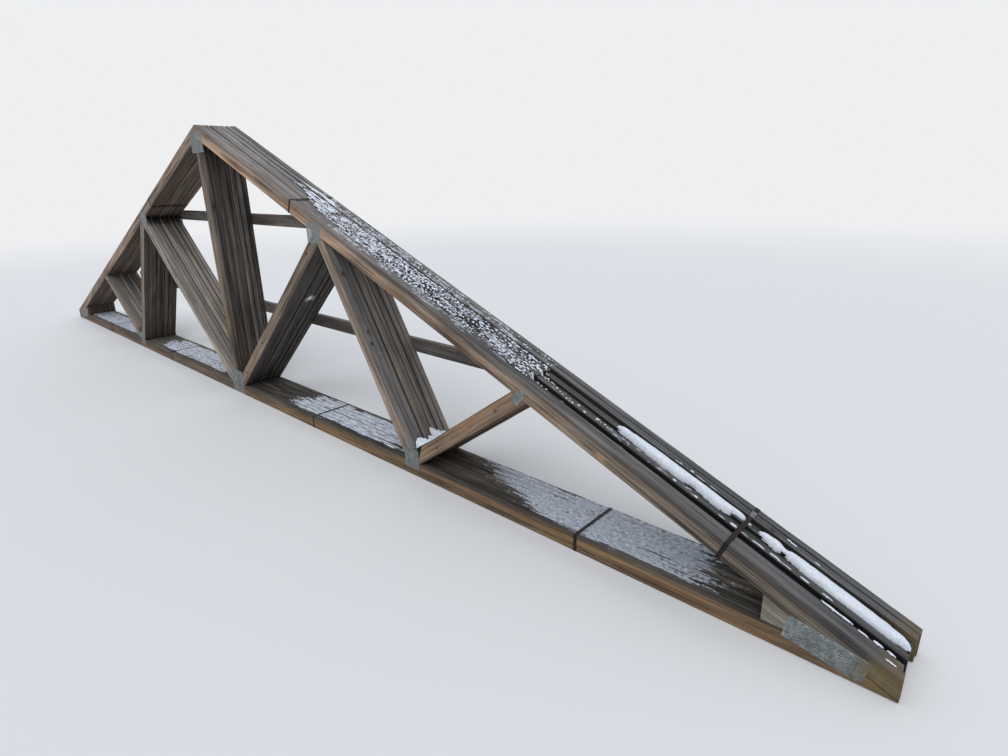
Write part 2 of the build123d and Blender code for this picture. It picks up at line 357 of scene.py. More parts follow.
class TimberGroup:
    """Group that gives sawn timber its rings, streaks, knots, checks and weathering, and paints shade into
    the seams between plies and, mixed with damp, onto alternate plies.
    """

    NAME = "sawn_timber"
    RING_PITCH = 0.0075
    AIR = 0.0002
    FRONT_FACE = (0.004, 0.002)
    BACK_FACE = (0.3145, 0.3165)
    EAVE_SHADE = (0.012, 0.038)
    WORN_BORDER = (0.035, 0.0445)
    SEAM_SHADE_WIDTH = 0.0032
    DAMP_AND_SHADE_STREAKS = (0.3, 0.5)
    DARK_STREAKS = (0.42, 0.32)
    WARM_PATCHES = (0.5, 0.72)
    CRACK_LEVELS = (0.66, 0.71)
    KNOT_CHANCE = (0.62, 1.0)
    KNOT_SIZES = (0.001, 0.085)
    KNOT_EDGE = (0.6, 1.25)
    HALO_EDGE = (1.0, 3.4)
    GRAINS = (
        ((0.7, 24.0, 24.0), 2.0), ((1.6, 85.0, 85.0), 3.0, 0.55), ((7.0, 420.0, 420.0), 2.0, 0.6),
        ((2.6, 11.0, 11.0), 3.0), ((1.9, 17.0, 17.0), 2.0), ((2.4, 230.0, 230.0), 2.0),
        ((0.9, 6.0, 6.0), 2.0),
    )
    KNOTS_PER_METRE = 7.0
    FACE_WEIGHTS = (2.1, 2.4, 1.2, 1.5)
    EDGE_WEIGHTS = (1.0, 2.0, 1.3, 1.0)
    TINTS = ((1.08, 1.0, 0.92), (0.95, 1.0, 1.06))
    DAMP_TINT = (1.13, 1.0, 0.88)
    RESIN = rgb(150, 110, 76)
    STREAK = rgb(58, 48, 42)
    # Painted shade in the seams between plies, near black.
    SEAM_SHADE = rgb(24, 22, 21)
    # Near black laid on alternate plies: painted shade of the sunk plies, mixed with damp.
    DAMP_AND_SHADE = rgb(30, 29, 30)
    KNOT = rgb(44, 34, 28)
    CHECK = rgb(36, 30, 28)
    END_GRAIN = (rgb(92, 78, 66), rgb(52, 42, 36))

    @staticmethod
    def weighted(tree: Group, parts: Sequence[Value], weights: Sequence[float]) -> Value:
        """Adds up noises about one half.

        Args:
            tree: The group.
            parts: The noises.
            weights: The weight of each.

        Returns:
            The sum, between 0 and 1.
        """
        total: Feed = 0.5
        for part, weight in zip(parts, weights):
            total = (part - 0.5).times(weight, total)
        return tree.math("MAXIMUM", tree.math("MINIMUM", total, 1.0), 0.0)

    @classmethod
    def build(cls) -> None:
        """Makes the group."""
        tree = Group(
            cls.NAME, Vector="grain", Color="face_light face_dark edge_light edge_dark top_light top_dark",
            Float="centre seed knots warm eave plied spread wet damp damp_from damp_to",
        )
        place, grain = tree.place(), tree["grain"]
        face_dark, edge_dark = tree["face_dark"], tree["edge_dark"]
        along = tree.vector("DOT_PRODUCT", place, grain)
        upward = tree.vector("CROSS_PRODUCT", grain, tuple(ACROSS_PLIES))
        across = tree.vector("DOT_PRODUCT", place, upward) - tree["centre"]
        x, y, _ = tree.split(place)
        depth = y - (FRONT_Y - cls.AIR)
        ply = tree.math("FLOOR", depth / PLY_PITCH) * tree["plied"]
        inside = depth - ply * PLY_PITCH
        first, second, third = tree.split(tree.lottery(ply + tree["seed"], "Color"))
        body = tree.joined(first.times(37.0, along), across, ply.times(1.7, inside))
        broad, narrow, fibre, blotch, heat, cracks, bend = (tree.noise(body, *how) for how in cls.GRAINS)
        check = cracks.ramp(*cls.CRACK_LEVELS)

        ring_up = (bend - 0.5).times(0.05, across + first.times(0.13, -0.065))
        ring_in = (bend - 0.5).times(0.03, inside + second.times(0.09, 0.012))
        distance, chance = tree.cells(body, cls.KNOTS_PER_METRE)
        near = distance / chance.ramp(*cls.KNOT_CHANCE, *cls.KNOT_SIZES)
        knot = near.ramp(*cls.KNOT_EDGE, 1.0, 0.0) * tree["knots"]
        halo = near.ramp(*cls.HALO_EDGE, 1.0, 0.0) * tree["knots"]
        radius = halo.times(0.006, tree.vector("LENGTH", tree.joined(ring_up, ring_in)))
        wave = tree.math("SINE", radius * (2 * math.pi / cls.RING_PITCH))
        latewood = wave.times(0.5, 0.5).ramp(0.45, 1.0)

        way = tree.normal()
        _, face_y, face_z = tree.split(way)
        outer = tree.math("MAXIMUM", depth.ramp(*cls.FRONT_FACE), depth.ramp(*cls.BACK_FACE))
        parts = (broad, narrow, fibre, blotch)
        tone = cls.weighted(tree, parts, cls.FACE_WEIGHTS)
        upper = tree.mix(tone, tree["top_dark"], tree["top_light"])
        shaded = (blotch - 0.5).times(0.05, across).ramp(*cls.EAVE_SHADE)
        face = tree.cover(
            tree.mix(tone, face_dark, tree["face_light"]),
            (latewood * 0.22, face_dark),
            (heat.ramp(*cls.WARM_PATCHES) * tree["warm"], cls.RESIN),
            (narrow.ramp(*cls.DARK_STREAKS) * 0.4, cls.STREAK),
            (shaded * tree["eave"], tree.mix(0.45, upper, face_dark)),
            (abs(across).ramp(*cls.WORN_BORDER) * 0.3, face_dark),
        )

        edge = tree.mix(cls.weighted(tree, parts, cls.EDGE_WEIGHTS), edge_dark, tree["edge_light"])
        edge = tree.cover(edge, (face_z.ramp(0.15, 0.85), upper), (latewood * 0.2, edge_dark))
        level = ((third - 0.5) * tree["spread"]).times(2.0, 1.0)
        edge = tree.mix(1.0, edge, tree.vector("SCALE", tree.mix(second, *cls.TINTS), level), "MULTIPLY")
        border = tree.math("MINIMUM", inside, LUMBER_T - inside)
        # Painted shade mixed with damp: near black on every second ply, half as strong on the others, and a
        # little less rough.
        deep = tree.math("LESS_THAN", tree.math("MODULO", ply, 2.0), 0.5)
        damp_and_shade = narrow.ramp(*cls.DAMP_AND_SHADE_STREAKS, 1.0, 0.78) * deep.times(0.5, 0.5) * tree["wet"]
        # Painted shade: each ply's edges darken towards near black within a few millimetres of its faces,
        # where the gaps between plies lie.
        seam = border.ramp(0.0, cls.SEAM_SHADE_WIDTH, 0.62, 0.0) * tree["plied"]
        edge = tree.cover(edge, (seam, cls.SEAM_SHADE), (damp_and_shade, cls.DAMP_AND_SHADE))

        colour = tree.mix(abs(face_y).ramp(0.5, 0.9) * outer, edge, face)
        shine = fibre.times(0.5, 0.75)
        colour = tree.mix(1.0, colour, tree.joined(shine, shine, shine), "MULTIPLY")
        damp = x.ramp(tree["damp_from"], tree["damp_to"]) * tree["damp"] * face_z.ramp(0.2, 0.8, 1.0, 0.74)
        darker = [damp.times(-share, 1.0) for share in cls.DAMP_TINT]
        colour = tree.mix(1.0, colour, tree.joined(*darker), "MULTIPLY")
        ends = abs(tree.vector("DOT_PRODUCT", way, grain)).ramp(0.7, 0.85, 0.0, 0.85)
        colour = tree.cover(
            colour, (halo * 0.3, edge_dark), (knot * 0.8, cls.KNOT), (check * 0.55, cls.CHECK),
            (ends, tree.mix(latewood, *cls.END_GRAIN)),
        )
        relief = check.times(-0.8, latewood.times(0.25, narrow.times(0.4, fibre * 0.35)))
        tree.put(colour=colour, rough=damp_and_shade.times(-0.25, fibre.times(0.18, 0.72)), height=relief)


class FrostGroup:
    """Group that dusts the upward faces of a run with frost and thin snow."""

    NAME = "frost_dusting"
    RAGGED = (6.0, 45.0, 6.0)
    FACING_UP = (0.55, 0.85)
    SIDE_EDGE = (-0.25, 0.35)
    SEAM_EDGE = (0.0015, 0.0055)
    HOLLOW_SHADE_LEVELS = (0.34, 0.68)

    @classmethod
    def build(cls) -> None:
        """Makes the group."""
        tree = Group(
            cls.NAME, Color="colour light hollow",
            Float="rough height coverage start end fade slant bare_front bare_back stretch clumps softness "
                  "opacity bridged",
        )
        place = tree.place()
        x, y, _ = tree.split(place)
        up = tree.split(tree.normal())[2].ramp(*cls.FACING_UP)
        uneven = tree.noise(place, cls.RAGGED, 3.0) - 0.5
        moved = uneven.times(0.6, x)
        plies = (y - FRONT_Y) / PLY_PITCH
        begun = (plies.times(tree["slant"], moved) - tree["start"]).ramp(0.0, tree["fade"])
        ended = (tree["end"] - moved).ramp(0.0, tree["fade"])
        shifted = uneven.times(2.2, plies)
        front = (shifted - tree["bare_front"]).ramp(*cls.SIDE_EDGE)
        back = (LAST_PLY_END - tree["bare_back"] - shifted).ramp(*cls.SIDE_EDGE)
        where = begun * ended * (front * back)

        number = tree.math("ROUND", plies)
        away = abs(plies - number) * PLY_PITCH
        chance = tree.lottery(number.times(3.1, tree["start"]), "Value")
        bare_seam = tree.math("GREATER_THAN", chance, tree["bridged"]).ramp(0.0, 1.0, 0.1, 1.0)
        seam = away.ramp(*cls.SEAM_EDGE, 1.0, 0.0) * bare_seam

        stretched = tree.joined(x / tree["stretch"], y)
        clumps = tree.noise(stretched, tree["clumps"], 4.0, 0.62)
        level = tree.noise(stretched, 14.0, 3.0, 0.55).times(0.6, clumps * 0.6)
        over = level - tree["coverage"].times(-0.5, 0.85) - seam * 0.12
        over = (where - 1.0).times(0.42, over)
        mask = over.ramp(tree["softness"] * -1.0, tree["softness"]) * up * tree["opacity"]
        # Painted shade: the thin parts of the clumps take the darker hollow colour.
        snow = tree.mix(clumps.ramp(*cls.HOLLOW_SHADE_LEVELS), tree["hollow"], tree["light"])
        tree.put(
            colour=tree.mix(mask, tree["colour"], snow), rough=mask.times(0.12, tree["rough"]),
            height=mask.times(1.3, tree["height"]),
        )


class MarkGroup:
    """Group for one knot or patch at a known place on a board."""

    NAME = "board_mark"
    RING_EDGE = (1.0, 1.9)
    CORE_EDGE = (0.6, 1.1)

    @classmethod
    def build(cls) -> None:
        """Makes the group."""
        tree = Group(cls.NAME, Color="colour tone", Vector="grain at", Float="radius stretch strength")
        gap = tree.vector("SUBTRACT", tree.place(), tree["at"])
        run = tree.vector("DOT_PRODUCT", gap, tree["grain"])
        less = run * (tree.math("DIVIDE", 1.0, tree["stretch"]) - 1.0)
        away = tree.vector("LENGTH", tree.vector("ADD", gap, tree.vector("SCALE", tree["grain"], less)))
        rough = tree.noise(tree.place(), 160.0, 3.0, 0.6) - 0.5
        share = rough.times(0.7, away / tree["radius"])
        ring = share.ramp(*cls.RING_EDGE, 0.3, 0.0) * tree["strength"]
        core = share.ramp(*cls.CORE_EDGE, 1.0, 0.0) * tree["strength"]
        tree.put(colour=tree.cover(tree["colour"], (ring, tree["tone"]), (core, tree["tone"])))


class HeelStainGroup:
    """Group for the damp, moss-stained tips of the heels."""

    NAME = "heel_stain"
    TIP_X = 4.83
    REACH = 0.13
    MOSS_HEIGHT = (0.17, 0.08)
    DAMP_HEIGHT = (0.05, 0.0)
    DAMP_RUN = (3.8, 4.6)
    MOSS = (rgb(84, 70, 44), rgb(132, 116, 80))
    DAMP = rgb(62, 46, 34)

    @classmethod
    def build(cls) -> None:
        """Makes the group."""
        tree = Group(cls.NAME, Color="colour", Float="stain")
        place = tree.place()
        x, _, z = tree.split(place)
        patchy = tree.noise(place, (24.0, 24.0, 11.0), 4.0, 0.6)
        tip = (patchy - 0.5).times(0.3, abs(x)).ramp(cls.TIP_X - cls.REACH, cls.TIP_X)
        share = tip * tree["stain"] * z.ramp(*cls.MOSS_HEIGHT)
        damp = z.ramp(*cls.DAMP_HEIGHT) * abs(x).ramp(*cls.DAMP_RUN) * patchy * 0.7
        tree.put(colour=tree.cover(tree["colour"], (share, tree.mix(patchy, *cls.MOSS)), (damp, cls.DAMP)))


class ZincGroup:
    """Group for dull galvanised sheet: faint spangle, white bloom and grime."""

    NAME = "dull_zinc"
    GRIME = rgb(74, 72, 64)
    GRIMY = (0.42, 0.7)

    @classmethod
    def build(cls) -> None:
        """Makes the group."""
        tree = Group(cls.NAME, Color="light dark", Float="grime")
        place = tree.place()
        flake = tree.cells(place, 95.0)[1]
        bloom = tree.noise(place, 60.0, 4.0, 0.65)
        grime = tree.noise(place, (16.0, 16.0, 7.0), 4.0, 0.6)
        tone = tree.math("MULTIPLY_ADD", flake - 0.5, 0.3, (bloom - 0.5).times(2.2, 0.5), clamp=True)
        colour = tree.mix(tone, tree["dark"], tree["light"])
        colour = tree.mix(grime.ramp(*cls.GRIMY) * tree["grime"], colour, cls.GRIME)
        tree.put(colour=colour, rough=bloom.times(0.25, 0.45), height=bloom.times(0.3, flake * 0.1))


class RustGroup:
    """Group for blackened steel strap with rust, the light colour, coming through."""

    NAME = "rusting_strap"
    RUSTY = (0.66, 0.86)

    @classmethod
    def build(cls) -> None:
        """Makes the group."""
        tree = Group(cls.NAME, Color="light dark")
        pits = tree.noise(tree.place(), 210.0, 4.0, 0.65)
        rust = pits.times(0.4, tree.noise(tree.place(), 26.0, 3.0, 0.6)).ramp(*cls.RUSTY)
        colour = tree.mix(rust, tree["dark"], tree["light"])
        tree.put(colour=colour, rough=rust.times(0.35, 0.45), height=rust.times(0.4, pits * 0.3))


class SnowGroup:
    """Group for settled snow: the dark colour painted as blue shade in the hollows between lumps, and
    grains.
    """

    NAME = "settled_snow"

    @classmethod
    def build(cls) -> None:
        """Makes the group."""
        tree = Group(cls.NAME, Color="light dark")
        grains = tree.noise(tree.place(), 420.0, 3.0, 0.7)
        lumps = tree.noise(tree.place(), 70.0, 3.0, 0.6)
        # Painted shade: the low parts of the lumps take the dark, bluer colour.
        tone = tree.math("MULTIPLY_ADD", lumps - 0.5, 1.6, 0.6, clamp=True)
        colour = tree.mix(tone, tree["dark"], tree["light"])
        tree.put(colour=colour, rough=grains.times(0.15, 0.8), height=grains.times(0.3, lumps * 0.7))


class Surface(Shade):
    """A material's tree with its surface shader."""

    def __init__(self, name: str, metallic: float = 0.0, specular: float = 0.5) -> None:
        """Starts the material.

        Args:
            name: The material's name.
            metallic: How metallic the surface is.
            specular: How strong its plain reflection is.
        """
        self.material = bpy.data.materials.new(name)
        self.material.use_nodes = True
        super().__init__(self.material.node_tree)
        self.tree.nodes.clear()
        self.shader = self.node("BsdfPrincipled")
        values = {"Metallic": metallic, "Specular IOR Level": specular}
        self.result = self.fed(self.shader, values)
        self.output = self.node("OutputMaterial").inputs["Surface"]
        self.feed(self.output, self.result)

    def dress(self, out: dict[str, Value], depth: float, strength: float) -> bpy.types.Material:
        """Gives the surface its colour, roughness and fine relief.

        Args:
            out: The finish's outputs.
            depth: What a height of 1 measures, in metres.
            strength: How strongly the relief shows.

        Returns:
            The material.
        """
        bump = {"Strength": strength, "Distance": depth, "Height": out["height"]}
        relief = self.fed(self.node("Bump"), bump)
        self.fed(self.shader, {"Base Color": out["colour"], "Roughness": out["rough"], "Normal": relief})
        return self.material


@dataclass(frozen=True)
class Frost:
    """Where a run of boards is dusted with frost, and how thickly."""

    coverage: float
    start: float
    end: float
    fade: float
    bare_front: float
    bare_back: float
    stretch: float
    kind: Dusting
    opacity: float = 0.9
    bridged: float = 0.5
    light: Colour = rgb(232, 238, 248)
    # The hollow colour is painted shade between the frost's clumps.
    hollow: Colour = rgb(146, 156, 172)
    slant: float = 0.0

    def add(self, shade: Shade, out: dict[str, Value]) -> dict[str, Value]:
        """Lays the frost over a finish's outputs."""
        clumps, softness = self.kind.value
        return shade.group(FrostGroup.NAME, self, clumps=clumps, softness=softness, **out)


@dataclass(frozen=True)
class Mark:
    """One knot, or patch of another tone, at a place on a board."""

    at: tuple[float, float, float]
    radius: float = 0.012
    stretch: float = 1.4
    strength: float = 0.85
    tone: Colour = rgb(48, 34, 28)


@dataclass(frozen=True)
class TimberFinish:
    """Weathered softwood for one family of boards."""

    RELIEF = (0.0012, 0.8)
    seed: float
    face_light: Colour = rgb(150, 124, 100)
    face_dark: Colour = rgb(84, 72, 62)
    edge_light: Colour = rgb(112, 105, 100)
    edge_dark: Colour = rgb(50, 47, 46)
    top_light: Colour = rgb(152, 146, 140)
    top_dark: Colour = rgb(108, 103, 98)
    knots: float = 1.0
    warm: float = 0.3
    eave: float = 0.0
    plied: float = 1.0
    spread: float = 0.3
    # Strength of the near-black darkening on alternate plies, painted shade mixed with damp.
    wet: float = 0.0
    damp: float = 0.0
    damp_from: float = 0.0
    damp_to: float = 5.0
    frosts: tuple[Frost, ...] = ()
    marks: tuple[Mark, ...] = ()
    stain: float = 0.0

    def material(self, name: str, grain: Vector, centre: float) -> bpy.types.Material:
        """Makes the material.

        Args:
            name: The material's name.
            grain: Direction of the boards' grain.
            centre: Where the boards' middle line lies across the grain.

        Returns:
            The material.
        """
        surface = Surface(name, specular=0.25)
        way = tuple(grain)
        out = surface.group(TimberGroup.NAME, self, grain=way, centre=centre)
        for mark in self.marks:
            out.update(surface.group(MarkGroup.NAME, mark, colour=out["colour"], grain=way))
        if self.stain:
            out.update(surface.group(HeelStainGroup.NAME, self, colour=out["colour"]))
        for frost in self.frosts:
            out = frost.add(surface, out)
        return surface.dress(out, *self.RELIEF)


@dataclass(frozen=True)
class PlainFinish:
    """A finish that one node group makes of two colours."""

    group: str
    light: Colour
    dark: Colour
    relief: tuple[float, float]
    grime: float = 0.0
    stain: float = 0.0
    metallic: float = 0.0
    specular: float = 0.5

    def material(self, name: str) -> bpy.types.Material:
        """Makes the material.

        Args:
            name: The material's name.

        Returns:
            The material.
        """
        surface = Surface(name, self.metallic, self.specular)
        out = surface.group(self.group, self)
        if self.stain:
            out.update(surface.group(HeelStainGroup.NAME, self, colour=out["colour"]))
        return surface.dress(out, *self.relief)


ZINC = PlainFinish(
    ZincGroup.NAME, rgb(146, 154, 155), rgb(82, 91, 93), (0.0004, 0.7), grime=0.45, metallic=0.3,
)
# The inner plates, between the plies, take a dark brown copy of the zinc with more grime: painted shade.
SHADED_INNER_ZINC = replace(ZINC, light=rgb(64, 58, 52), dark=rgb(34, 31, 28), grime=0.6)
STRAP = PlainFinish(RustGroup.NAME, rgb(48, 35, 29), rgb(18, 17, 17), (0.0003, 0.6), specular=0.2)
SEAL = replace(STRAP, light=rgb(92, 78, 66), dark=rgb(120, 122, 124), metallic=0.4)
# The snow's dark colour is painted shade for its hollows.
SNOW = PlainFinish(SnowGroup.NAME, rgb(232, 237, 246), rgb(196, 205, 220), (0.002, 0.8), specular=0.2)
# Darker copies of the snow for the frost in the cracks between plies: painted shade, darkest by the heel.
SHADED_CRACK_SNOW = replace(SNOW, light=rgb(222, 230, 242), dark=rgb(164, 174, 190))
DARKER_SHADED_SNOW = replace(SNOW, light=rgb(192, 202, 218), dark=rgb(140, 149, 163))


def welded(node: str) -> Mesh:
    """A CAD node's mesh with its points joined.

    Args:
        node: The node's name.

    Returns:
        The mesh, to be freed by the caller.
    """
    mesh = bmesh.new()
    mesh.from_mesh(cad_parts[node].data)
    bmesh.ops.remove_doubles(mesh, verts=mesh.verts, dist=WELD_GAP)
    return mesh


def simplified(node: str) -> Mesh:
    """A CAD node's joined mesh with each flat face in one piece.

    Args:
        node: The node's name.

    Returns:
        The mesh, to be freed by the caller.
    """
    mesh = welded(node)
    bmesh.ops.dissolve_limit(mesh, angle_limit=FLAT_ANGLE, verts=mesh.verts, edges=mesh.edges)
    return mesh


def separate_boards(mesh: Mesh) -> list[list[Vert]]:
    """Vertices of each separate solid of a mesh.

    Args:
        mesh: The mesh.

    Returns:
        One list for each solid.
    """
    left = set(mesh.verts)
    groups = []
    for start in mesh.verts:
        if start not in left:
            continue
        left.discard(start)
        members, edge = [start], [start]
        while edge:
            for link in edge.pop().link_edges:
                fresh = [other for other in link.verts if other in left]
                left.difference_update(fresh)
                edge += fresh
                members += fresh
        groups.append(members)
    return groups


def solids_of(node: str) -> list[list[Vector]]:
    """Corner points of each separate solid in a CAD node.

    Args:
        node: The node's name.

    Returns:
        One list of points for each solid, front solids first.
    """
    mesh = welded(node)
    groups = [[v.co.copy() for v in members] for members in separate_boards(mesh)]
    mesh.free()
    return sorted(groups, key=lambda points: (min(p.y for p in points), min(p.x for p in points)))


def longest_edge(node: str) -> Vector:
    """Direction of a CAD node's longest straight edge, in the truss plane.

    Args:
        node: The node's name.

    Returns:
        A unit vector that points right or up.
    """
    mesh = simplified(node)
    edge = max(mesh.edges, key=lambda e: e.calc_length())
    along = edge.verts[1].co - edge.verts[0].co
    mesh.free()
    along = Vector((along.x, 0, along.z)).normalized()
    return -along if along.x + along.z * 0.01 < 0 else along


def reach(node: str, way: Vector) -> tuple[float, float]:
    """How far a CAD node reaches along a direction.

    Args:
        node: The node's name.
        way: The direction.

    Returns:
        Its lowest and highest distance from the origin.
    """
    spots = [v.co.dot(way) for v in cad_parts[node].data.vertices]
    return min(spots), max(spots)


def placed(name: str, data: bpy.types.ID) -> bpy.types.Object:
    """Puts a new object in the scene.

    Args:
        name: The object's name.
        data: Its mesh, lamp or lens.

    Returns:
        The object.
    """
    made = bpy.data.objects.new(name, data)
    bpy.context.scene.collection.objects.link(made)
    return made


def ripple(size: float, *at: float) -> float:
    """Soft noise of a given size at a place of one to three numbers."""
    return size * noise.noise(Vector((*at, 0.0, 0.0)[:3]))


def at_plies(x: float, plies: float, z: float) -> Vector:
    """The point at a place along the span, across the bundle in plies, and a height."""
    return Vector((x, FRONT_Y + plies * PLY_PITCH, z))


def add_piece(name: str, mesh: Mesh, *materials: bpy.types.Material) -> bpy.types.Object:
    """Makes an object of a finished mesh.

    Args:
        name: The piece's name.
        mesh: Its mesh, freed here.
        *materials: Its materials.

    Returns:
        The object, riding on the bundle.
    """
    bmesh.ops.recalc_face_normals(mesh, faces=mesh.faces)
    data = bpy.data.meshes.new(name)
    for material in materials:
        data.materials.append(material)
    mesh.to_mesh(data)
    mesh.free()
    piece = placed(name, data)
    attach(piece, BODY)
    LOG.info("%s: %d faces", name, len(data.polygons))
    return piece


@dataclass
class Boards:
    """One family of boards, a node of the frame, with eased and weather-worn edges."""

    node: str
    finish: TimberFinish
    spacing: float = 0.07
    wear: float = 0.0024
    nick: float = 0.0022
    near_edge: float = 0.004
    SLOW = 0.9
    FAST = 8.0
    WORN_SHARE = 0.45

    def worn(self, grain: Vector) -> Mesh:
        """Cuts the boards into short lengths and wears their edges inward.

        Args:
            grain: Direction of the grain.

        Returns:
            The worn mesh.
        """
        mesh = simplified(self.node)
        spots = [v.co.dot(grain) for v in mesh.verts]
        for step in range(1, int((max(spots) - min(spots)) / self.spacing)):
            at = min(spots) + step * self.spacing
            every = mesh.verts[:] + mesh.edges[:] + mesh.faces[:]
            bmesh.ops.bisect_plane(mesh, geom=every, plane_co=grain * at, plane_no=grain)
        for board in separate_boards(mesh):
            self.wear_edges(board, grain)
        return mesh

    def wear_edges(self, board: Sequence[Vert], grain: Vector) -> None:
        """Moves the narrow edges of one board inward by a little, unevenly, never outside the node's box.

        Args:
            board: The board's vertices.
            grain: Direction of the grain.
        """
        low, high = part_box(self.node)
        upward = grain.cross(ACROSS_PLIES)
        spots = [v.co.dot(upward) for v in board]
        limits = ((1.0, min(spots)), (-1.0, max(spots)))
        key = min(v.co.y for v in board) * 100 + self.finish.seed
        for vertex in board:
            spot, run = vertex.co.dot(upward), vertex.co.dot(grain)
            for side, limit in limits:
                if abs(spot - limit) > self.near_edge:
                    continue
                slow = ripple(1.0, run * self.SLOW, key, side * 7)
                fast = ripple(1.0, run * self.FAST, key, side * 13 + vertex.co.y * 300)
                inward = self.wear * max(0.0, self.WORN_SHARE + slow) + self.nick * max(0.0, fast)
                vertex.co += upward * side * inward
            vertex.co.x = min(high.x, max(low.x, vertex.co.x))
            vertex.co.z = min(high.z, max(low.z, vertex.co.z))

    def build(self) -> bpy.types.Object:
        """Makes the boards and dresses them.

        Returns:
            The piece, which stands for the node.
        """
        grain = longest_edge(self.node)
        centre = sum(reach(self.node, grain.cross(ACROSS_PLIES))) / 2
        material = self.finish.material(self.node + "_timber", grain, centre)
        piece = add_piece("worn_" + self.node, self.worn(grain), material)
        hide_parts(self.node)
        return piece


class PlateSheet:
    """A flat sheet with two sides, built from places on it."""

    def __init__(self, mesh: Mesh, points: Sequence[Vector], skin: int) -> None:
        """Finds the sheet's middle, sides and thickness.

        Args:
            mesh: The mesh to build in.
            points: The sheet's eight corners.
            skin: Number of its material.
        """
        middle = sum(points, Vector()) / len(points)
        front = [p for p in points if p.y < middle.y]
        others = sorted(front[1:], key=lambda p: (p - front[0]).length)
        short, long = others[0] - front[0], others[1] - front[0]
        self.mesh, self.skin, self.middle = mesh, skin, middle
        self.length, self.height = long.length, short.length
        self.along, self.across = long.normalized(), short.normalized()
        self.thick = Vector((0, middle.y - front[0].y, 0))
        self.corners: dict[tuple[int, int, int], Vert] = {}

    def corner(self, place: Place, side: int) -> Vert:
        """The vertex at a place, on one side of the sheet.

        Args:
            place: Where along the sheet and across it.
            side: Which face, 1 or -1.

        Returns:
            The vertex.
        """
        key = (round(place[0] * 1e6), round(place[1] * 1e6), side)
        if key not in self.corners:
            run, rise = place[0] - self.length / 2, place[1] - self.height / 2
            at = self.middle + self.along * run + self.across * rise + self.thick * side
            self.corners[key] = self.mesh.verts.new(at)
        return self.corners[key]

    def face(self, corners: Sequence[Vert]) -> None:
        """Adds one face."""
        self.mesh.faces.new(corners).material_index = self.skin

    def patch(self, loop: Sequence[Place]) -> None:
        """Covers both sides of the sheet inside a closed loop of places."""
        for side in (-1, 1):
            self.face([self.corner(place, side) for place in loop])

    def wall(self, loop: Sequence[Place]) -> None:
        """Joins the two sides of the sheet along a closed loop of places."""
        for a, b in zip(loop, [*loop[1:], loop[0]]):
            self.face([self.corner(a, -1), self.corner(b, -1), self.corner(b, 1), self.corner(a, 1)])

    def rim(self) -> list[Place]:
        """The four corners of the sheet."""
        return [(0.0, 0.0), (self.length, 0.0), (self.length, self.height), (0.0, self.height)]


@dataclass
class ConnectorPlates:
    """The plates of one joint in all the trusses; the outermost two show their punched slots, and the inner
    ones are painted dark with shade.
    """

    node: str
    finish: PlainFinish
    inner_finish: PlainFinish = SHADED_INNER_ZINC
    slot_length: float = 0.0105
    slot_width: float = 0.0030
    pitch_along: float = 0.0254
    pitch_across: float = 0.00635
    rim: float = 0.004

    def build(self) -> bpy.types.Object:
        """Makes the plates and dresses them.

        Returns:
            The piece, which stands for the node.
        """
        mesh = bmesh.new()
        plates = solids_of(self.node)
        for index, points in enumerate(plates):
            if index in (0, len(plates) - 1):
                self.punched(PlateSheet(mesh, points, 0))
            else:
                inner = PlateSheet(mesh, points, 1)
                inner.patch(inner.rim())
                inner.wall(inner.rim())
        shown = self.finish.material(self.node + "_zinc")
        # The inner plates' material paints the shade that falls between the plies.
        shaded_inner = self.inner_finish.material(self.node + "_inner_zinc")
        piece = add_piece("toothed_" + self.node, mesh, shown, shaded_inner)
        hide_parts(self.node)
        return piece

    def punched(self, sheet: PlateSheet) -> None:
        """Builds a plate with its staggered rows of punched slots.

        Args:
            sheet: The sheet to build in.
        """
        rows = int((sheet.height - 2 * self.rim) / self.pitch_across)
        first = (sheet.height - rows * self.pitch_across + self.pitch_across - self.slot_width) / 2
        slots = [self.slot_ends(sheet.length, row) for row in range(rows)]
        lines = [[(0.0, 0.0), (sheet.length, 0.0)]]
        for row, ends in enumerate(slots):
            low = first + row * self.pitch_across
            for level in (low, low + self.slot_width):
                lines.append([(run, level) for run in (0.0, *ends, sheet.length)])
        lines.append([(0.0, sheet.height), (sheet.length, sheet.height)])
        for below, above in zip(lines[0::2], lines[1::2]):
            sheet.patch(below + above[::-1])
        for below, above in zip(lines[1:-1:2], lines[2::2]):
            for i in range(0, len(below), 2):
                sheet.patch([below[i], below[i + 1], above[i + 1], above[i]])
            for i in range(1, len(below) - 1, 2):
                sheet.wall([below[i], below[i + 1], above[i + 1], above[i]])
        sheet.wall([line[0] for line in lines] + [line[-1] for line in reversed(lines)])

    def slot_ends(self, length: float, row: int) -> list[float]:
        """Where the slots of a row begin and end.

        Args:
            length: The plate's length.
            row: The row's number; odd rows are staggered by half a pitch.

        Returns:
            The ends of the slots, in order.
        """
        shift = self.pitch_along / 2 if row % 2 else 0.0
        half = self.slot_length / 2
        room = length - 2 * self.rim - self.slot_length
        first = self.rim + (room % self.pitch_along) / 2 + half - self.pitch_along
        ends: list[float] = []
        for step in range(int(length / self.pitch_along) + 3):
            middle = first + shift + step * self.pitch_along
            if self.rim + half <= middle <= length - self.rim - half:
                ends += [middle - half, middle + half]
        return ends


@dataclass
class Strapping:
    """The steel straps and their crimped seals, as the frame has them."""

    finish: PlainFinish = STRAP
    seal_finish: PlainFinish = SEAL

    def build(self) -> None:
        """Dresses every strap and seal."""
        skins = {
            "strap_": self.finish.material("strap_steel"),
            "seal_": self.seal_finish.material("seal_steel"),
        }
        for name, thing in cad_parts.items():
            for start, skin in skins.items():
                if name.startswith(start):
                    thing.data.materials.clear()
                    thing.data.materials.append(skin)
                    LOG.info("%s dressed", name)


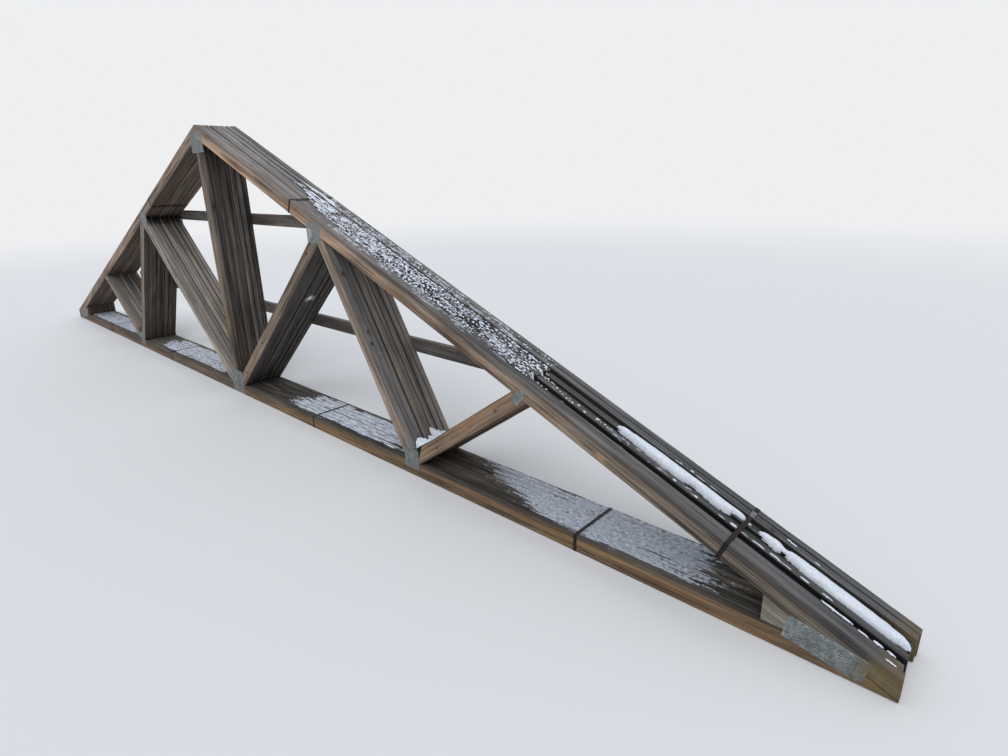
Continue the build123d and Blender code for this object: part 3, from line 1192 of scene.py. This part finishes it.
@dataclass
class SnowSheet:
    """A closed sheet of snow over a grid of places."""

    name: str
    rows: Sequence[float]
    columns: Sequence[float]
    under: Callable[[float, float], Vector]
    lift: Vector
    thickness: Callable[[float, float], float]
    least: float = 0.0002

    def __post_init__(self) -> None:
        """Measures the snow at each crossing of the grid, negative where there is none."""
        self.depths = {
            (i, j): self.thickness(row, column)
            for i, row in enumerate(self.rows) for j, column in enumerate(self.columns)
        }
        self.mesh = bmesh.new()
        self.points: dict[tuple[int, int], tuple[Vert, Vert]] = {}

    def cells(self) -> set[tuple[int, int]]:
        """Cells of the grid that hold snow, with no two meeting at a corner alone.

        Returns:
            Row and column of each cell's first crossing.
        """
        kept = set()
        for i in range(len(self.rows) - 1):
            for j in range(len(self.columns) - 1):
                if sum(self.depths[i + a, j + b] for a in (0, 1) for b in (0, 1)) > 0:
                    kept.add((i, j))
        while True:
            extra = set()
            for i, j in kept:
                for side in (-1, 1):
                    if (i + 1, j + side) in kept and (i + 1, j) not in kept and (i, j + side) not in kept:
                        extra.add((i + 1, j))
            if not extra:
                return kept
            kept |= extra

    def pair(self, at: tuple[int, int]) -> tuple[Vert, Vert]:
        """The lower and upper vertex at a crossing.

        Args:
            at: The crossing's row and column.

        Returns:
            Both vertices.
        """
        if at not in self.points:
            low = self.under(self.rows[at[0]], self.columns[at[1]])
            high = low + self.lift * max(self.depths[at], self.least)
            self.points[at] = (self.mesh.verts.new(low), self.mesh.verts.new(high))
        return self.points[at]

    def build(self, material: bpy.types.Material) -> bpy.types.Object:
        """Makes the sheet and dresses it.

        Args:
            material: Its material.

        Returns:
            The piece.
        """
        kept = self.cells()
        for i, j in sorted(kept):
            ring = [(i, j), (i + 1, j), (i + 1, j + 1), (i, j + 1)]
            self.mesh.faces.new([self.pair(at)[0] for at in ring])
            self.mesh.faces.new([self.pair(at)[1] for at in reversed(ring)]).smooth = True
            beside = [(i, j - 1), (i + 1, j), (i, j + 1), (i - 1, j)]
            for a, b, other in zip(ring, [*ring[1:], ring[0]], beside):
                if other not in kept:
                    low_a, high_a, low_b, high_b = *self.pair(a), *self.pair(b)
                    self.mesh.faces.new([high_a, high_b, low_b, low_a])
        return add_piece(self.name, self.mesh, material)


def steps(start: float, end: float, gap: float) -> list[float]:
    """Evenly spaced numbers from one to another.

    Args:
        start: The first number.
        end: The last number.
        gap: About how far apart they are.

    Returns:
        The numbers.
    """
    count = max(1, round((end - start) / gap))
    return [start + (end - start) * i / count for i in range(count + 1)]


def follow(table: Sequence[tuple[float, ...]], x: float) -> list[float]:
    """Reads a table of values by the first of each row.

    Args:
        table: Rows in order, each a place and its values.
        x: The place.

    Returns:
        The values there, joined smoothly between rows.
    """
    if x <= table[0][0]:
        return list(table[0][1:])
    for before, after in zip(table, table[1:]):
        if x <= after[0]:
            share = (x - before[0]) / (after[0] - before[0])
            share = share * share * (3 - 2 * share)
            return [a + (b - a) * share for a, b in zip(before[1:], after[1:])]
    return list(table[-1][1:])


@dataclass
class RoofSnow:
    """Snow on the right slope: two ridges in its hollow, a crust above them and small clumps."""

    finish: PlainFinish = SNOW
    step_along: float = 0.006
    step_across: float = 0.005
    sink: float = 0.0008
    crust_limit: float = 0.0035
    BARE = -0.004
    BORDER = 0.07
    NUDGE = 0.01
    RIDGE_BACK = 5.97
    RIDGE_END = 0.02
    RIDGE_PLIES = (3.6, 6.1)
    CRUST_RUN = (0.94, 3.7)
    CLUMP_RUN = (3.38, 4.86)
    FINER_FROM = 1.35
    FINER_OVER = 0.7
    BARE_PLIES = (5.62, 6.05)
    CLOSED_SEAMS = -0.1
    upper_ridge: tuple = (
        (3.62, 5.1, 5.4, -9.0), (3.66, 4.95, 5.7, -6.0), (3.75, 4.75, 5.88, -4.0), (3.86, 4.58, 5.95, -3.0),
        (3.96, 4.60, 5.96, -3.0), (4.00, 5.02, 5.96, -5.0), (4.06, 4.85, 5.96, -4.0),
        (4.13, 4.62, 5.96, -4.0), (4.17, 4.80, 5.96, -6.0), (4.195, 5.35, 5.95, -8.0),
        (4.24, 5.40, 5.9, -9.0),
    )
    lower_ridge: tuple = (
        (4.30, 5.2, 5.6, -12.0), (4.335, 4.95, 5.75, -8.0), (4.375, 4.8, 5.8, -7.0),
        (4.405, 5.2, 5.6, -13.0), (4.43, 4.85, 5.85, -8.0), (4.52, 4.5, 5.9, -7.0),
        (4.65, 4.36, 5.88, -7.0), (4.76, 4.40, 5.8, -7.0), (4.815, 4.5, 5.7, -8.0), (4.83, 4.8, 5.6, -9.0),
        (4.85, 4.7, 5.4, -11.0), (4.868, 4.9, 5.1, -14.0),
    )
    patches: tuple = (
        (4.625, 1.80, 0.040, 0.15, 0.003), (4.675, 1.83, 0.022, 0.13, 0.003),
        (4.735, 1.66, 0.020, 0.14, 0.003), (4.782, 1.80, 0.018, 0.16, 0.003),
        (4.822, 1.84, 0.016, 0.13, 0.003), (4.832, 0.78, 0.018, 0.12, 0.003),
        (4.500, 1.90, 0.024, 0.07, 0.002), (4.270, 3.12, 0.022, 0.14, 0.003),
        (4.330, 3.18, 0.024, 0.16, 0.003), (4.395, 3.30, 0.020, 0.14, 0.003),
        (4.440, 3.15, 0.026, 0.12, 0.003), (4.510, 3.22, 0.022, 0.10, 0.003),
        (4.595, 3.25, 0.022, 0.10, 0.002), (4.250, 5.50, 0.016, 0.22, 0.004),
        (4.225, 3.30, 0.014, 0.20, 0.003), (4.175, 3.12, 0.016, 0.14, 0.003),
        (4.060, 3.25, 0.010, 0.16, 0.003), (3.960, 3.30, 0.008, 0.14, 0.003),
        (3.890, 3.12, 0.018, 0.10, 0.002), (3.985, 6.16, 0.010, 0.09, 0.003),
        (3.930, 6.12, 0.008, 0.07, 0.002), (4.405, 6.55, 0.010, 0.12, 0.003),
        (4.425, 6.48, 0.016, 0.09, 0.002), (4.520, 6.18, 0.014, 0.08, 0.002),
    )
    crusts: tuple = (
        (0.94, 5.2, 6.4, 0.32), (1.04, 4.4, 7.2, 0.52), (1.20, 3.7, 7.5, 0.60), (1.34, 3.2, 7.6, 0.64),
        (1.37, 2.4, 7.6, 0.60), (1.45, 2.0, 7.5, 0.57), (1.70, 1.8, 7.6, 0.55), (1.95, 1.5, 7.7, 0.57),
        (2.25, 1.4, 7.8, 0.54), (2.75, 1.3, 7.8, 0.46), (3.05, 1.3, 7.8, 0.50), (3.20, 1.3, 7.7, 0.52),
        (3.25, 2.0, 4.9, 0.46), (3.45, 2.4, 4.9, 0.43), (3.60, 3.0, 4.9, 0.40), (3.66, 3.0, 3.9, 0.2),
    )

    def __post_init__(self) -> None:
        """Finds the slope's directions and the level of each ply's top."""
        self.grain = Vector((math.cos(ROOF_SLOPE), 0, -math.sin(ROOF_SLOPE)))
        self.out = Vector((math.sin(ROOF_SLOPE), 0, math.cos(ROOF_SLOPE)))
        self.level = reach("top_chord_right", self.out)[1]
        tops = [max(p.dot(self.out) for p in solid) for solid in solids_of("top_chord_right_lower")]
        self.sunk = {ply: self.level - top for ply, top in enumerate(tops, start=2)}
        self.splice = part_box("top_chord_right_lower")[0].x + LUMBER_W * math.sin(ROOF_SLOPE)

    def depth(self, x: float, plies: float) -> float:
        """How far a ply's top lies below the slope's own level.

        Args:
            x: Where along the span.
            plies: Where across the bundle, in plies.

        Returns:
            The depth in metres.
        """
        ply = min(PLIES - 1, max(0, math.floor(plies + self.NUDGE)))
        return self.sunk.get(ply, 0.0) if x > self.splice else 0.0

    def under(self, x: float, plies: float) -> Vector:
        """The place just inside the boards' tops.

        Args:
            x: Where along the span.
            plies: Where across the bundle, in plies.

        Returns:
            The place.
        """
        down = self.depth(x, plies) + self.sink
        foot = self.out * (self.level - down)
        foot += self.grain * ((x - foot.x) / self.grain.x)
        return foot + ACROSS_PLIES * (FRONT_Y + plies * PLY_PITCH)

    def ridge_depth(self, table: Sequence[tuple[float, ...]], x: float, plies: float) -> float:
        """Thickness of a ridge.

        Args:
            table: Its places along the span, with front, back and height over the slope in millimetres.
            x: Where along the span.
            plies: Where across the bundle, in plies.

        Returns:
            The thickness in metres, negative outside.
        """
        front, back, rise = follow(table, x)
        front += ripple(0.13, x * 22, 3.0) + ripple(0.07, x * 60, 9.0)
        back = min(self.RIDGE_BACK, back + ripple(0.1, x * 18, 21.0))
        middle, half = (front + back) / 2, max((back - front) / 2, 0.02)
        off = abs(plies - middle) / half
        ends = min(1.0, (x - table[0][0]) / self.RIDGE_END, (table[-1][0] - x) / self.RIDGE_END)
        if off >= 1.0 or ends <= 0:
            return self.BARE
        full = self.depth(x, plies) + rise / 1000
        lumps = ripple(0.0020, x * 34, plies * 1.6, 4.0) + ripple(0.0010, x * 95, plies * 4.0, 8.0)
        return (full + lumps) * math.sqrt(1 - off ** 3) * math.sqrt(ends) + self.sink

    def crust_depth(self, x: float, plies: float) -> float:
        """Thickness of the broken crust.

        Args:
            x: Where along the span.
            plies: Where across the bundle, in plies.

        Returns:
            The thickness in metres, negative outside.
        """
        front, back, cover = follow(self.crusts, x)
        edge = ripple(0.35, x * 9, 40.0, plies)
        inside = min(plies - front - edge, back + edge - plies) / 0.5
        if inside <= 0 or self.on_step(x, plies):
            return self.BARE
        fineness = min(1.0, max(0.0, (x - self.FINER_FROM) / self.FINER_OVER))
        y = plies * PLY_PITCH
        fine = ripple(1.0, x * (11 + 57 * fineness), y * 110)
        coarse = ripple(1.0, x * (4 + 4 * fineness), y * 40, 7.0)
        border = abs(plies - round(plies))
        open_seam = ripple(1.0, round(plies) * 3.7, x * 1.3, 2.0) > self.CLOSED_SEAMS
        bare = 0.25 if border < self.BORDER and open_seam else 0.0
        if plies > self.BARE_PLIES[0]:
            bare += 0.5 if plies < self.BARE_PLIES[1] else 0.14 if x > 1.5 else 0.0
        level = fine * (0.6 + 0.2 * fineness) + coarse * (0.35 - 0.15 * fineness)
        level += (cover - 0.55) * 1.3 + min(0.0, inside - 1) * 0.4 - bare
        return min(self.crust_limit, level * 0.012) + self.sink if level > -0.03 else self.BARE

    def on_step(self, x: float, plies: float) -> bool:
        """Whether a place lies where one ply stands higher than the next.

        Args:
            x: Where along the span.
            plies: Where across the bundle, in plies.

        Returns:
            True on such a step.
        """
        border = round(plies)
        if abs(plies - border) > self.BORDER or x < self.splice:
            return False
        return self.sunk.get(border, 0.0) != self.sunk.get(border - 1, 0.0)

    def patch_depth(self, x: float, plies: float) -> float:
        """Thickness of the small clumps.

        Args:
            x: Where along the span.
            plies: Where across the bundle, in plies.

        Returns:
            The thickness in metres, negative outside.
        """
        best = self.BARE
        wobble = ripple(0.35, x * 70, plies * 6, 1.0)
        for at, ply, half, breadth, rise in self.patches:
            near = abs(x - at) < half * 1.4 and math.floor(plies + self.NUDGE) == math.floor(ply)
            if near and not self.on_step(x, plies):
                off = math.hypot((x - at) / half, (plies - ply) / breadth) + wobble
                best = max(best, rise * (1 - off ** 2) + self.sink if off < 1.1 else self.BARE)
        return best

    def build(self) -> None:
        """Makes the ridges, the crust and the clumps."""
        snow = self.finish.material("roof_snow")
        columns = steps(0.0, LAST_PLY_END, self.step_across / PLY_PITCH)
        first, last = self.RIDGE_PLIES
        inner = [column for column in columns if first < column < last]
        runs = {"snow_ridge_upper": self.upper_ridge, "snow_ridge_lower": self.lower_ridge}
        for name, table in runs.items():
            rows = steps(table[0][0], table[-1][0], self.step_along)
            SnowSheet(
                name, rows, inner, self.under, self.out,
                lambda x, plies, table=table: self.ridge_depth(table, x, plies),
            ).build(snow)
        rows = steps(*self.CRUST_RUN, self.step_along * 0.8)
        SnowSheet("snow_crust", rows, columns, self.under, self.out, self.crust_depth).build(snow)
        rows = steps(*self.CLUMP_RUN, self.step_along * 0.6)
        fine = steps(0.0, LAST_PLY_END, self.step_across * 0.5 / PLY_PITCH)
        SnowSheet("snow_clumps", rows, fine, self.under, self.out, self.patch_depth).build(snow)


@dataclass
class SeamFrost:
    """Frost that fills the cracks between the plies along a run of the bottom chord."""

    name: str
    start: float
    end: float
    plies: tuple[int, ...]
    share: float
    finish: PlainFinish
    half_width: float = 0.0046
    slant: float = 0.0
    step: float = 0.007
    thick: float = 0.0010
    sink: float = 0.0005
    FADE = 0.15

    def build(self) -> None:
        """Makes the fillings of the cracks."""
        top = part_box("bottom_chord_right")[1].z
        skin = self.finish.material(self.name)
        for ply in self.plies:
            rows = steps(self.start - self.slant * ply, self.end, self.step)
            middle = ply - (PLY_PITCH - LUMBER_T) / 2 / PLY_PITCH
            half = self.half_width / PLY_PITCH
            SnowSheet(
                f"{self.name}_{ply}", rows, steps(middle - half, middle + half, half / 2),
                lambda x, plies: at_plies(x, plies, top - self.sink), UP,
                lambda x, plies: self.depth(x, plies, middle),
            ).build(skin)

    def depth(self, x: float, plies: float, middle: float) -> float:
        """Thickness of the filling.

        Args:
            x: Where along the span.
            plies: Where across the bundle, in plies.
            middle: Middle of the crack, in plies.

        Returns:
            The thickness in metres, negative outside.
        """
        off = abs(plies - middle) * PLY_PITCH / self.half_width
        broken = ripple(1.0, x * 5, middle * 9, 1.0) + ripple(0.5, x * 45, plies * 14, 6.0)
        ends = min(1.0, (x + self.slant * middle - self.start) / self.FADE, (self.end - x) / self.FADE)
        return self.thick if broken + self.share * 1.2 - 0.6 - off * 0.15 - (1 - ends) > 0 else -self.thick


@dataclass
class CornerSnow:
    """Snow caught in the notch where two webs meet over the bottom chord."""

    finish: PlainFinish = SNOW
    left_web: str = "middle_web_right"
    right_web: str = "outer_web_right"
    step: float = 0.004
    sink: float = 0.0008
    tilt: float = 0.12
    middle: float = 2.33
    SPAN = (2.20, 2.60)
    PLIES_FILLED = (0.2, 7.0)
    levels: tuple = (
        (0.6, 0.145), (0.85, 0.176), (1.1, 0.198), (1.6, 0.211), (2.1, 0.216), (2.4, 0.212), (2.7, 0.196),
        (3.0, 0.178), (3.2, 0.173), (3.4, 0.190), (3.75, 0.208), (3.95, 0.194), (4.15, 0.172),
        (4.28, 0.205), (4.4, 0.246), (4.5, 0.232), (4.7, 0.204), (4.9, 0.176), (5.1, 0.162), (5.5, 0.149),
        (6.1, 0.138), (6.7, 0.124),
    )

    def __post_init__(self) -> None:
        """Finds the two faces of the notch."""
        self.faces = []
        for web, way in ((self.left_web, 1.0), (self.right_web, -1.0)):
            out = longest_edge(web).cross(ACROSS_PLIES)
            out = out if out.x * way > 0 else -out
            self.faces.append((out, reach(web, out)[1]))

    def bottom(self, x: float) -> float:
        """Height of the notch's bottom at a place along the span."""
        return max((level - out.x * x) / out.z for out, level in self.faces) - self.sink

    def depth(self, x: float, plies: float) -> float:
        """Thickness of the snow.

        Args:
            x: Where along the span.
            plies: Where across the bundle, in plies.

        Returns:
            The thickness in metres, negative outside.
        """
        level, = follow(self.levels, plies)
        lumps = ripple(0.010, x * 40, plies * 1.9, 5.0) + ripple(0.005, x * 110, plies * 5.0, 11.0)
        return level + self.tilt * (x - self.middle) + lumps - self.bottom(x)

    def build(self) -> None:
        """Makes the heap."""
        rows = steps(*self.SPAN, self.step)
        columns = steps(*self.PLIES_FILLED, self.step / PLY_PITCH)
        SnowSheet(
            "snow_in_notch", rows, columns,
            lambda x, plies: at_plies(x, plies, self.bottom(x)), UP, self.depth,
        ).build(self.finish.material("notch_snow"))


def turned(degrees: Sequence[float]) -> Euler:
    """A turn about X, Y and Z, given in degrees."""
    return Euler([math.radians(angle) for angle in degrees])


@dataclass
class Studio:
    """Pale floor and backdrop, soft light and the camera."""

    pale: Colour = rgb(238, 239, 241)
    floor_colour: Colour = rgb(226, 228, 230)
    sky_colour: Colour = rgb(246, 249, 255)
    sky_strength: float = 0.72
    lamp_strength: float = 1.1
    lamp_spread: float = 50.0
    lamp_turn: tuple[float, float, float] = (38.0, 0.0, 28.0)
    floor_radius: float = 60.0
    clear_radius: float = 7.5
    far_radius: float = 22.0
    eye: tuple[float, float, float] = (4.9655, -2.1889, 1.7131)
    turn: tuple[float, float, float] = (71.3122, 1.2796, 42.3176)
    lens: float = 21.256
    sensor: float = 36.0
    far: float = 200.0

    def floor(self) -> None:
        """Makes the floor, which fades into the pale backdrop far away."""
        mesh = bmesh.new()
        bmesh.ops.create_circle(mesh, cap_ends=True, segments=96, radius=self.floor_radius)
        data = bpy.data.meshes.new("studio_floor")
        mesh.to_mesh(data)
        mesh.free()
        floor = placed("studio_floor", data)
        surface = Surface("studio_floor", specular=0.1)
        surface.fed(surface.shader, {"Base Color": self.floor_colour, "Roughness": 0.95})
        x, y, _ = surface.split(surface.place())
        away = surface.vector("LENGTH", surface.joined(x, y))
        share = away.ramp(self.clear_radius, self.far_radius)
        glow = surface.fed(surface.node("Emission"), {"Color": self.pale})
        both = surface.fed(surface.node("MixShader"), (share, surface.result, glow))
        surface.feed(surface.output, both)
        data.materials.append(surface.material)

    def light(self) -> None:
        """Sets the world's soft light and one broad lamp high on the left."""
        world = bpy.data.worlds.new("studio_world")
        world.use_nodes = True
        world.node_tree.nodes.clear()
        shade = Shade(world.node_tree)
        path = shade.node("LightPath").outputs
        rays = [Value(shade, path[f"Is {kind} Ray"]) for kind in ("Camera", "Glossy", "Transmission")]
        seen = shade.math("MAXIMUM", shade.math("MAXIMUM", rays[0], rays[1]), rays[2])
        soft, pale = (
            shade.fed(shade.node("Background"), {"Color": colour, "Strength": strength})
            for colour, strength in ((self.sky_colour, self.sky_strength), (self.pale, 1.0))
        )
        both = shade.fed(shade.node("MixShader"), (seen, soft, pale))
        shade.feed(shade.node("OutputWorld").inputs["Surface"], both)
        bpy.context.scene.world = world
        lamp = bpy.data.lights.new("soft_sky", "SUN")
        lamp.energy = self.lamp_strength
        lamp.angle = math.radians(self.lamp_spread)
        placed("soft_sky", lamp).rotation_euler = turned(self.lamp_turn)

    def camera(self) -> None:
        """Puts the camera where the photograph was taken."""
        lens = bpy.data.cameras.new("camera")
        lens.lens = self.lens
        lens.sensor_width = self.sensor
        lens.clip_end = self.far
        camera = placed("camera", lens)
        camera.location = self.eye
        camera.rotation_euler = turned(self.turn)
        bpy.context.scene.camera = camera

    def build(self) -> None:
        """Sets up the whole studio."""
        self.floor()
        self.light()
        self.camera()
        bpy.context.scene.view_settings.view_transform = "Standard"


def timber_families() -> dict[str, TimberFinish]:
    """The finish of every family of boards.

    Returns:
        Node names and their finishes.
    """
    snow = rgb(214, 222, 234)
    orange = rgb(168, 104, 66)
    streaked, clumped = Dusting.STREAKED, Dusting.CLUMPED
    left_frost = (
        Frost(0.86, -4.6, -2.62, 0.2, 1.2, 0.7, 5.0, streaked, 0.88),
        Frost(0.86, -2.05, -0.30, 0.2, 1.2, 0.7, 6.0, streaked, 0.88),
    )
    right_frost = (
        Frost(0.79, 0.60, 2.30, 0.35, 0.9, 0.7, 7.0, streaked, 0.88, 0.6),
        Frost(0.80, 3.14, 4.32, 0.34, 0.6, 0.0, 2.5, Dusting.FINE, 0.74, 0.9, slant=0.09),
        Frost(0.34, 3.2, 4.4, 0.45, 0.2, 6.7, 3.0, clumped, 0.6),
    )
    # Near-black patches laid like frost among the crust: painted shade between the snow clumps, mixed with
    # damp wood.
    wet = {"light": rgb(36, 35, 36), "hollow": rgb(24, 24, 25)}
    roof_frost = (
        Frost(0.80, 1.75, 3.22, 0.5, 2.1, 2.1, 3.5, streaked, 0.8, 1.0, **wet),
        Frost(0.46, 1.30, 3.25, 0.3, 0.9, 0.2, 2.0, clumped, 0.55),
    )
    lower_frost = (Frost(0.24, 3.22, 4.30, 0.3, 0.2, 0.3, 2.5, clumped, 0.5),)
    slope = {"eave": 0.75, "damp": 0.58, "damp_from": 0.3, "damp_to": 5.0}
    chord_face = {"face_light": rgb(144, 117, 87), "face_dark": rgb(66, 54, 43)}
    roof_marks = (
        Mark((3.668, FRONT_Y, 0.540), 0.014, 2.0, 0.35, rgb(196, 150, 112)),
        Mark((2.160, FRONT_Y, 1.117), 0.012, 2.5, 0.5, rgb(190, 140, 100)),
        Mark((0.06, FRONT_Y, 2.06), 0.010),
    )
    king_marks = (Mark((0.0445, FRONT_Y + 0.037, 1.54), 0.016, 1.3, 0.85),)
    inner_marks = (
        Mark((1.062, -0.002, 0.904), 0.026, 1.0, 1.0, rgb(240, 244, 250)),
        Mark((0.204, FRONT_Y, 0.218), 0.010), Mark((0.567, FRONT_Y, 0.537), 0.009),
        Mark((1.40, FRONT_Y, 1.27), 0.009),
    )
    middle_marks = (
        Mark((1.750, -0.141, 1.168), 0.015), Mark((1.948, -0.136, 0.831), 0.014),
        Mark((1.988, -0.147, 0.764), 0.011), Mark((2.035, -0.118, 0.683), 0.010),
        Mark((2.132, -0.099, 0.519), 0.008), Mark((2.203, -0.005, 0.399), 0.010),
        Mark((2.05, FRONT_Y, 0.57), 0.009, 1.4, 0.4, rgb(140, 84, 56)),
    )
    outer_marks = (
        Mark((3.04, FRONT_Y, 0.598), 0.009, 1.6, 0.55), Mark((2.85, FRONT_Y, 0.459), 0.006, 1.8, 0.35),
        Mark((2.572, FRONT_Y, 0.251), 0.009, 1.3, 0.5), Mark((2.705, FRONT_Y, 0.352), 0.005, 1.4, 0.3),
    )
    left_marks = (
        Mark((-0.838, 0.058, 0.708), 0.018, 7.0, 0.9, snow),
        Mark((-0.774, 0.040, 0.652), 0.010, 6.0, 0.8, snow),
        Mark((-0.35, FRONT_Y, 0.28), 0.009),
    )
    bottom_marks = (
        Mark((3.41, FRONT_Y, 0.045), 0.010, 1.8, 0.2, orange),
        Mark((3.79, FRONT_Y, 0.058), 0.010, 2.0, 0.2, orange),
    )
    return {
        "top_chord_left": TimberFinish(
            11.0, rgb(168, 146, 128), rgb(78, 69, 61), rgb(120, 104, 90), rgb(66, 58, 52),
            eave=0.2, warm=0.15,
        ),
        "top_chord_right": TimberFinish(
            23.0, rgb(206, 174, 146), rgb(88, 75, 64), rgb(112, 98, 84), rgb(58, 50, 46), rgb(146, 143, 142),
            rgb(86, 85, 86), spread=0.18, frosts=roof_frost, marks=roof_marks, stain=0.7, **slope,
        ),
        # The lower boards carry near-black painted shade, mixed with damp, on their plies.
        "top_chord_right_lower": TimberFinish(
            31.0, rgb(150, 126, 102), rgb(84, 72, 62), rgb(90, 82, 76), rgb(44, 40, 38), rgb(150, 146, 142),
            rgb(90, 86, 82), wet=0.95, spread=0.3, frosts=lower_frost, **slope,
        ),
        "bottom_chord_left": TimberFinish(
            43.0, rgb(120, 104, 89), rgb(60, 52, 45), rgb(100, 90, 80), rgb(50, 46, 42), rgb(116, 110, 104),
            rgb(66, 62, 58), eave=0.7, frosts=left_frost, stain=0.35,
        ),
        "bottom_chord_right": TimberFinish(
            57.0, **chord_face, edge_light=rgb(86, 76, 66), edge_dark=rgb(40, 36, 33),
            top_light=rgb(104, 100, 93), top_dark=rgb(35, 34, 33), eave=0.8, warm=0.35,
            frosts=right_frost, marks=bottom_marks, stain=0.8, spread=0.35,
        ),
        "king_post": TimberFinish(
            61.0, rgb(136, 125, 109), rgb(49, 44, 38), rgb(118, 111, 105), rgb(46, 42, 40), spread=0.5,
            marks=king_marks,
        ),
        "inner_web_left": TimberFinish(
            71.0, rgb(196, 187, 172), rgb(60, 55, 50), rgb(106, 91, 74), rgb(46, 39, 32),
            spread=0.2, marks=left_marks,
        ),
        "inner_web_right": TimberFinish(
            83.0, rgb(144, 130, 112), rgb(66, 59, 51), rgb(92, 87, 84), rgb(38, 36, 36),
            spread=0.15, marks=inner_marks,
        ),
        "middle_web_left": TimberFinish(
            97.0, rgb(146, 137, 126), rgb(74, 68, 61), rgb(108, 96, 84), rgb(48, 42, 40),
        ),
        "middle_web_right": TimberFinish(
            103.0, rgb(166, 151, 134), rgb(80, 71, 63), rgb(122, 119, 116), rgb(62, 61, 62),
            warm=0.1, spread=0.15, marks=middle_marks,
        ),
        "outer_web_left": TimberFinish(
            113.0, rgb(156, 144, 130), rgb(94, 84, 74), rgb(132, 122, 110), rgb(72, 66, 60),
        ),
        "outer_web_right": TimberFinish(
            127.0, rgb(152, 129, 106), rgb(69, 58, 48), rgb(124, 104, 78), rgb(62, 50, 38), warm=0.45,
            marks=outer_marks,
        ),
        "heel_wedge_left": TimberFinish(137.0, rgb(140, 130, 118), rgb(90, 82, 74)),
        "heel_wedge_right": TimberFinish(149.0, rgb(148, 143, 131), rgb(92, 88, 80), knots=0.0, warm=0.1),
        "back_board_upper": TimberFinish(
            151.0, rgb(118, 113, 107), rgb(66, 63, 60), rgb(104, 98, 94), rgb(58, 54, 52),
            plied=0.0, warm=0.1,
        ),
        "back_board_lower": TimberFinish(
            163.0, rgb(112, 108, 104), rgb(62, 60, 58), rgb(104, 98, 94), rgb(58, 54, 52),
            plied=0.0, warm=0.1,
        ),
    }


def build_groups() -> None:
    """Makes the shader node groups that the finishes share."""
    for group in (TimberGroup, FrostGroup, MarkGroup, HeelStainGroup, ZincGroup, RustGroup, SnowGroup):
        group.build()


def main() -> None:
    """Builds the bundle's looks in order."""
    logging.basicConfig(level=logging.INFO)
    build_groups()
    for node, finish in timber_families().items():
        Boards(node, finish).build()
    stains = {"plate_heel_right": 0.8, "plate_heel_left": 0.3}
    for node in sorted(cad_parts):
        if node.startswith("plate_"):
            stain = stains.get(node, 0.0)
            ConnectorPlates(node, replace(ZINC, stain=stain)).build()
    Strapping().build()
    RoofSnow().build()
    SeamFrost("frost_by_king_post", 0.72, 2.2, (2, 3, 5, 6, 7), 0.45, SHADED_CRACK_SNOW).build()
    SeamFrost("frost_by_heel", 3.22, 4.24, (1, 2, 3, 4, 5, 6, 7), 0.85, DARKER_SHADED_SNOW, slant=0.09).build()
    SeamFrost("frost_on_left", -1.9, -0.45, (2, 3, 5, 6), 0.6, SHADED_CRACK_SNOW).build()
    SeamFrost("frost_by_left_heel", -4.4, -2.75, (2, 3, 4, 6), 0.7, SHADED_CRACK_SNOW).build()
    CornerSnow().build()
    Studio().build()


if __name__ == "__main__":
    main()
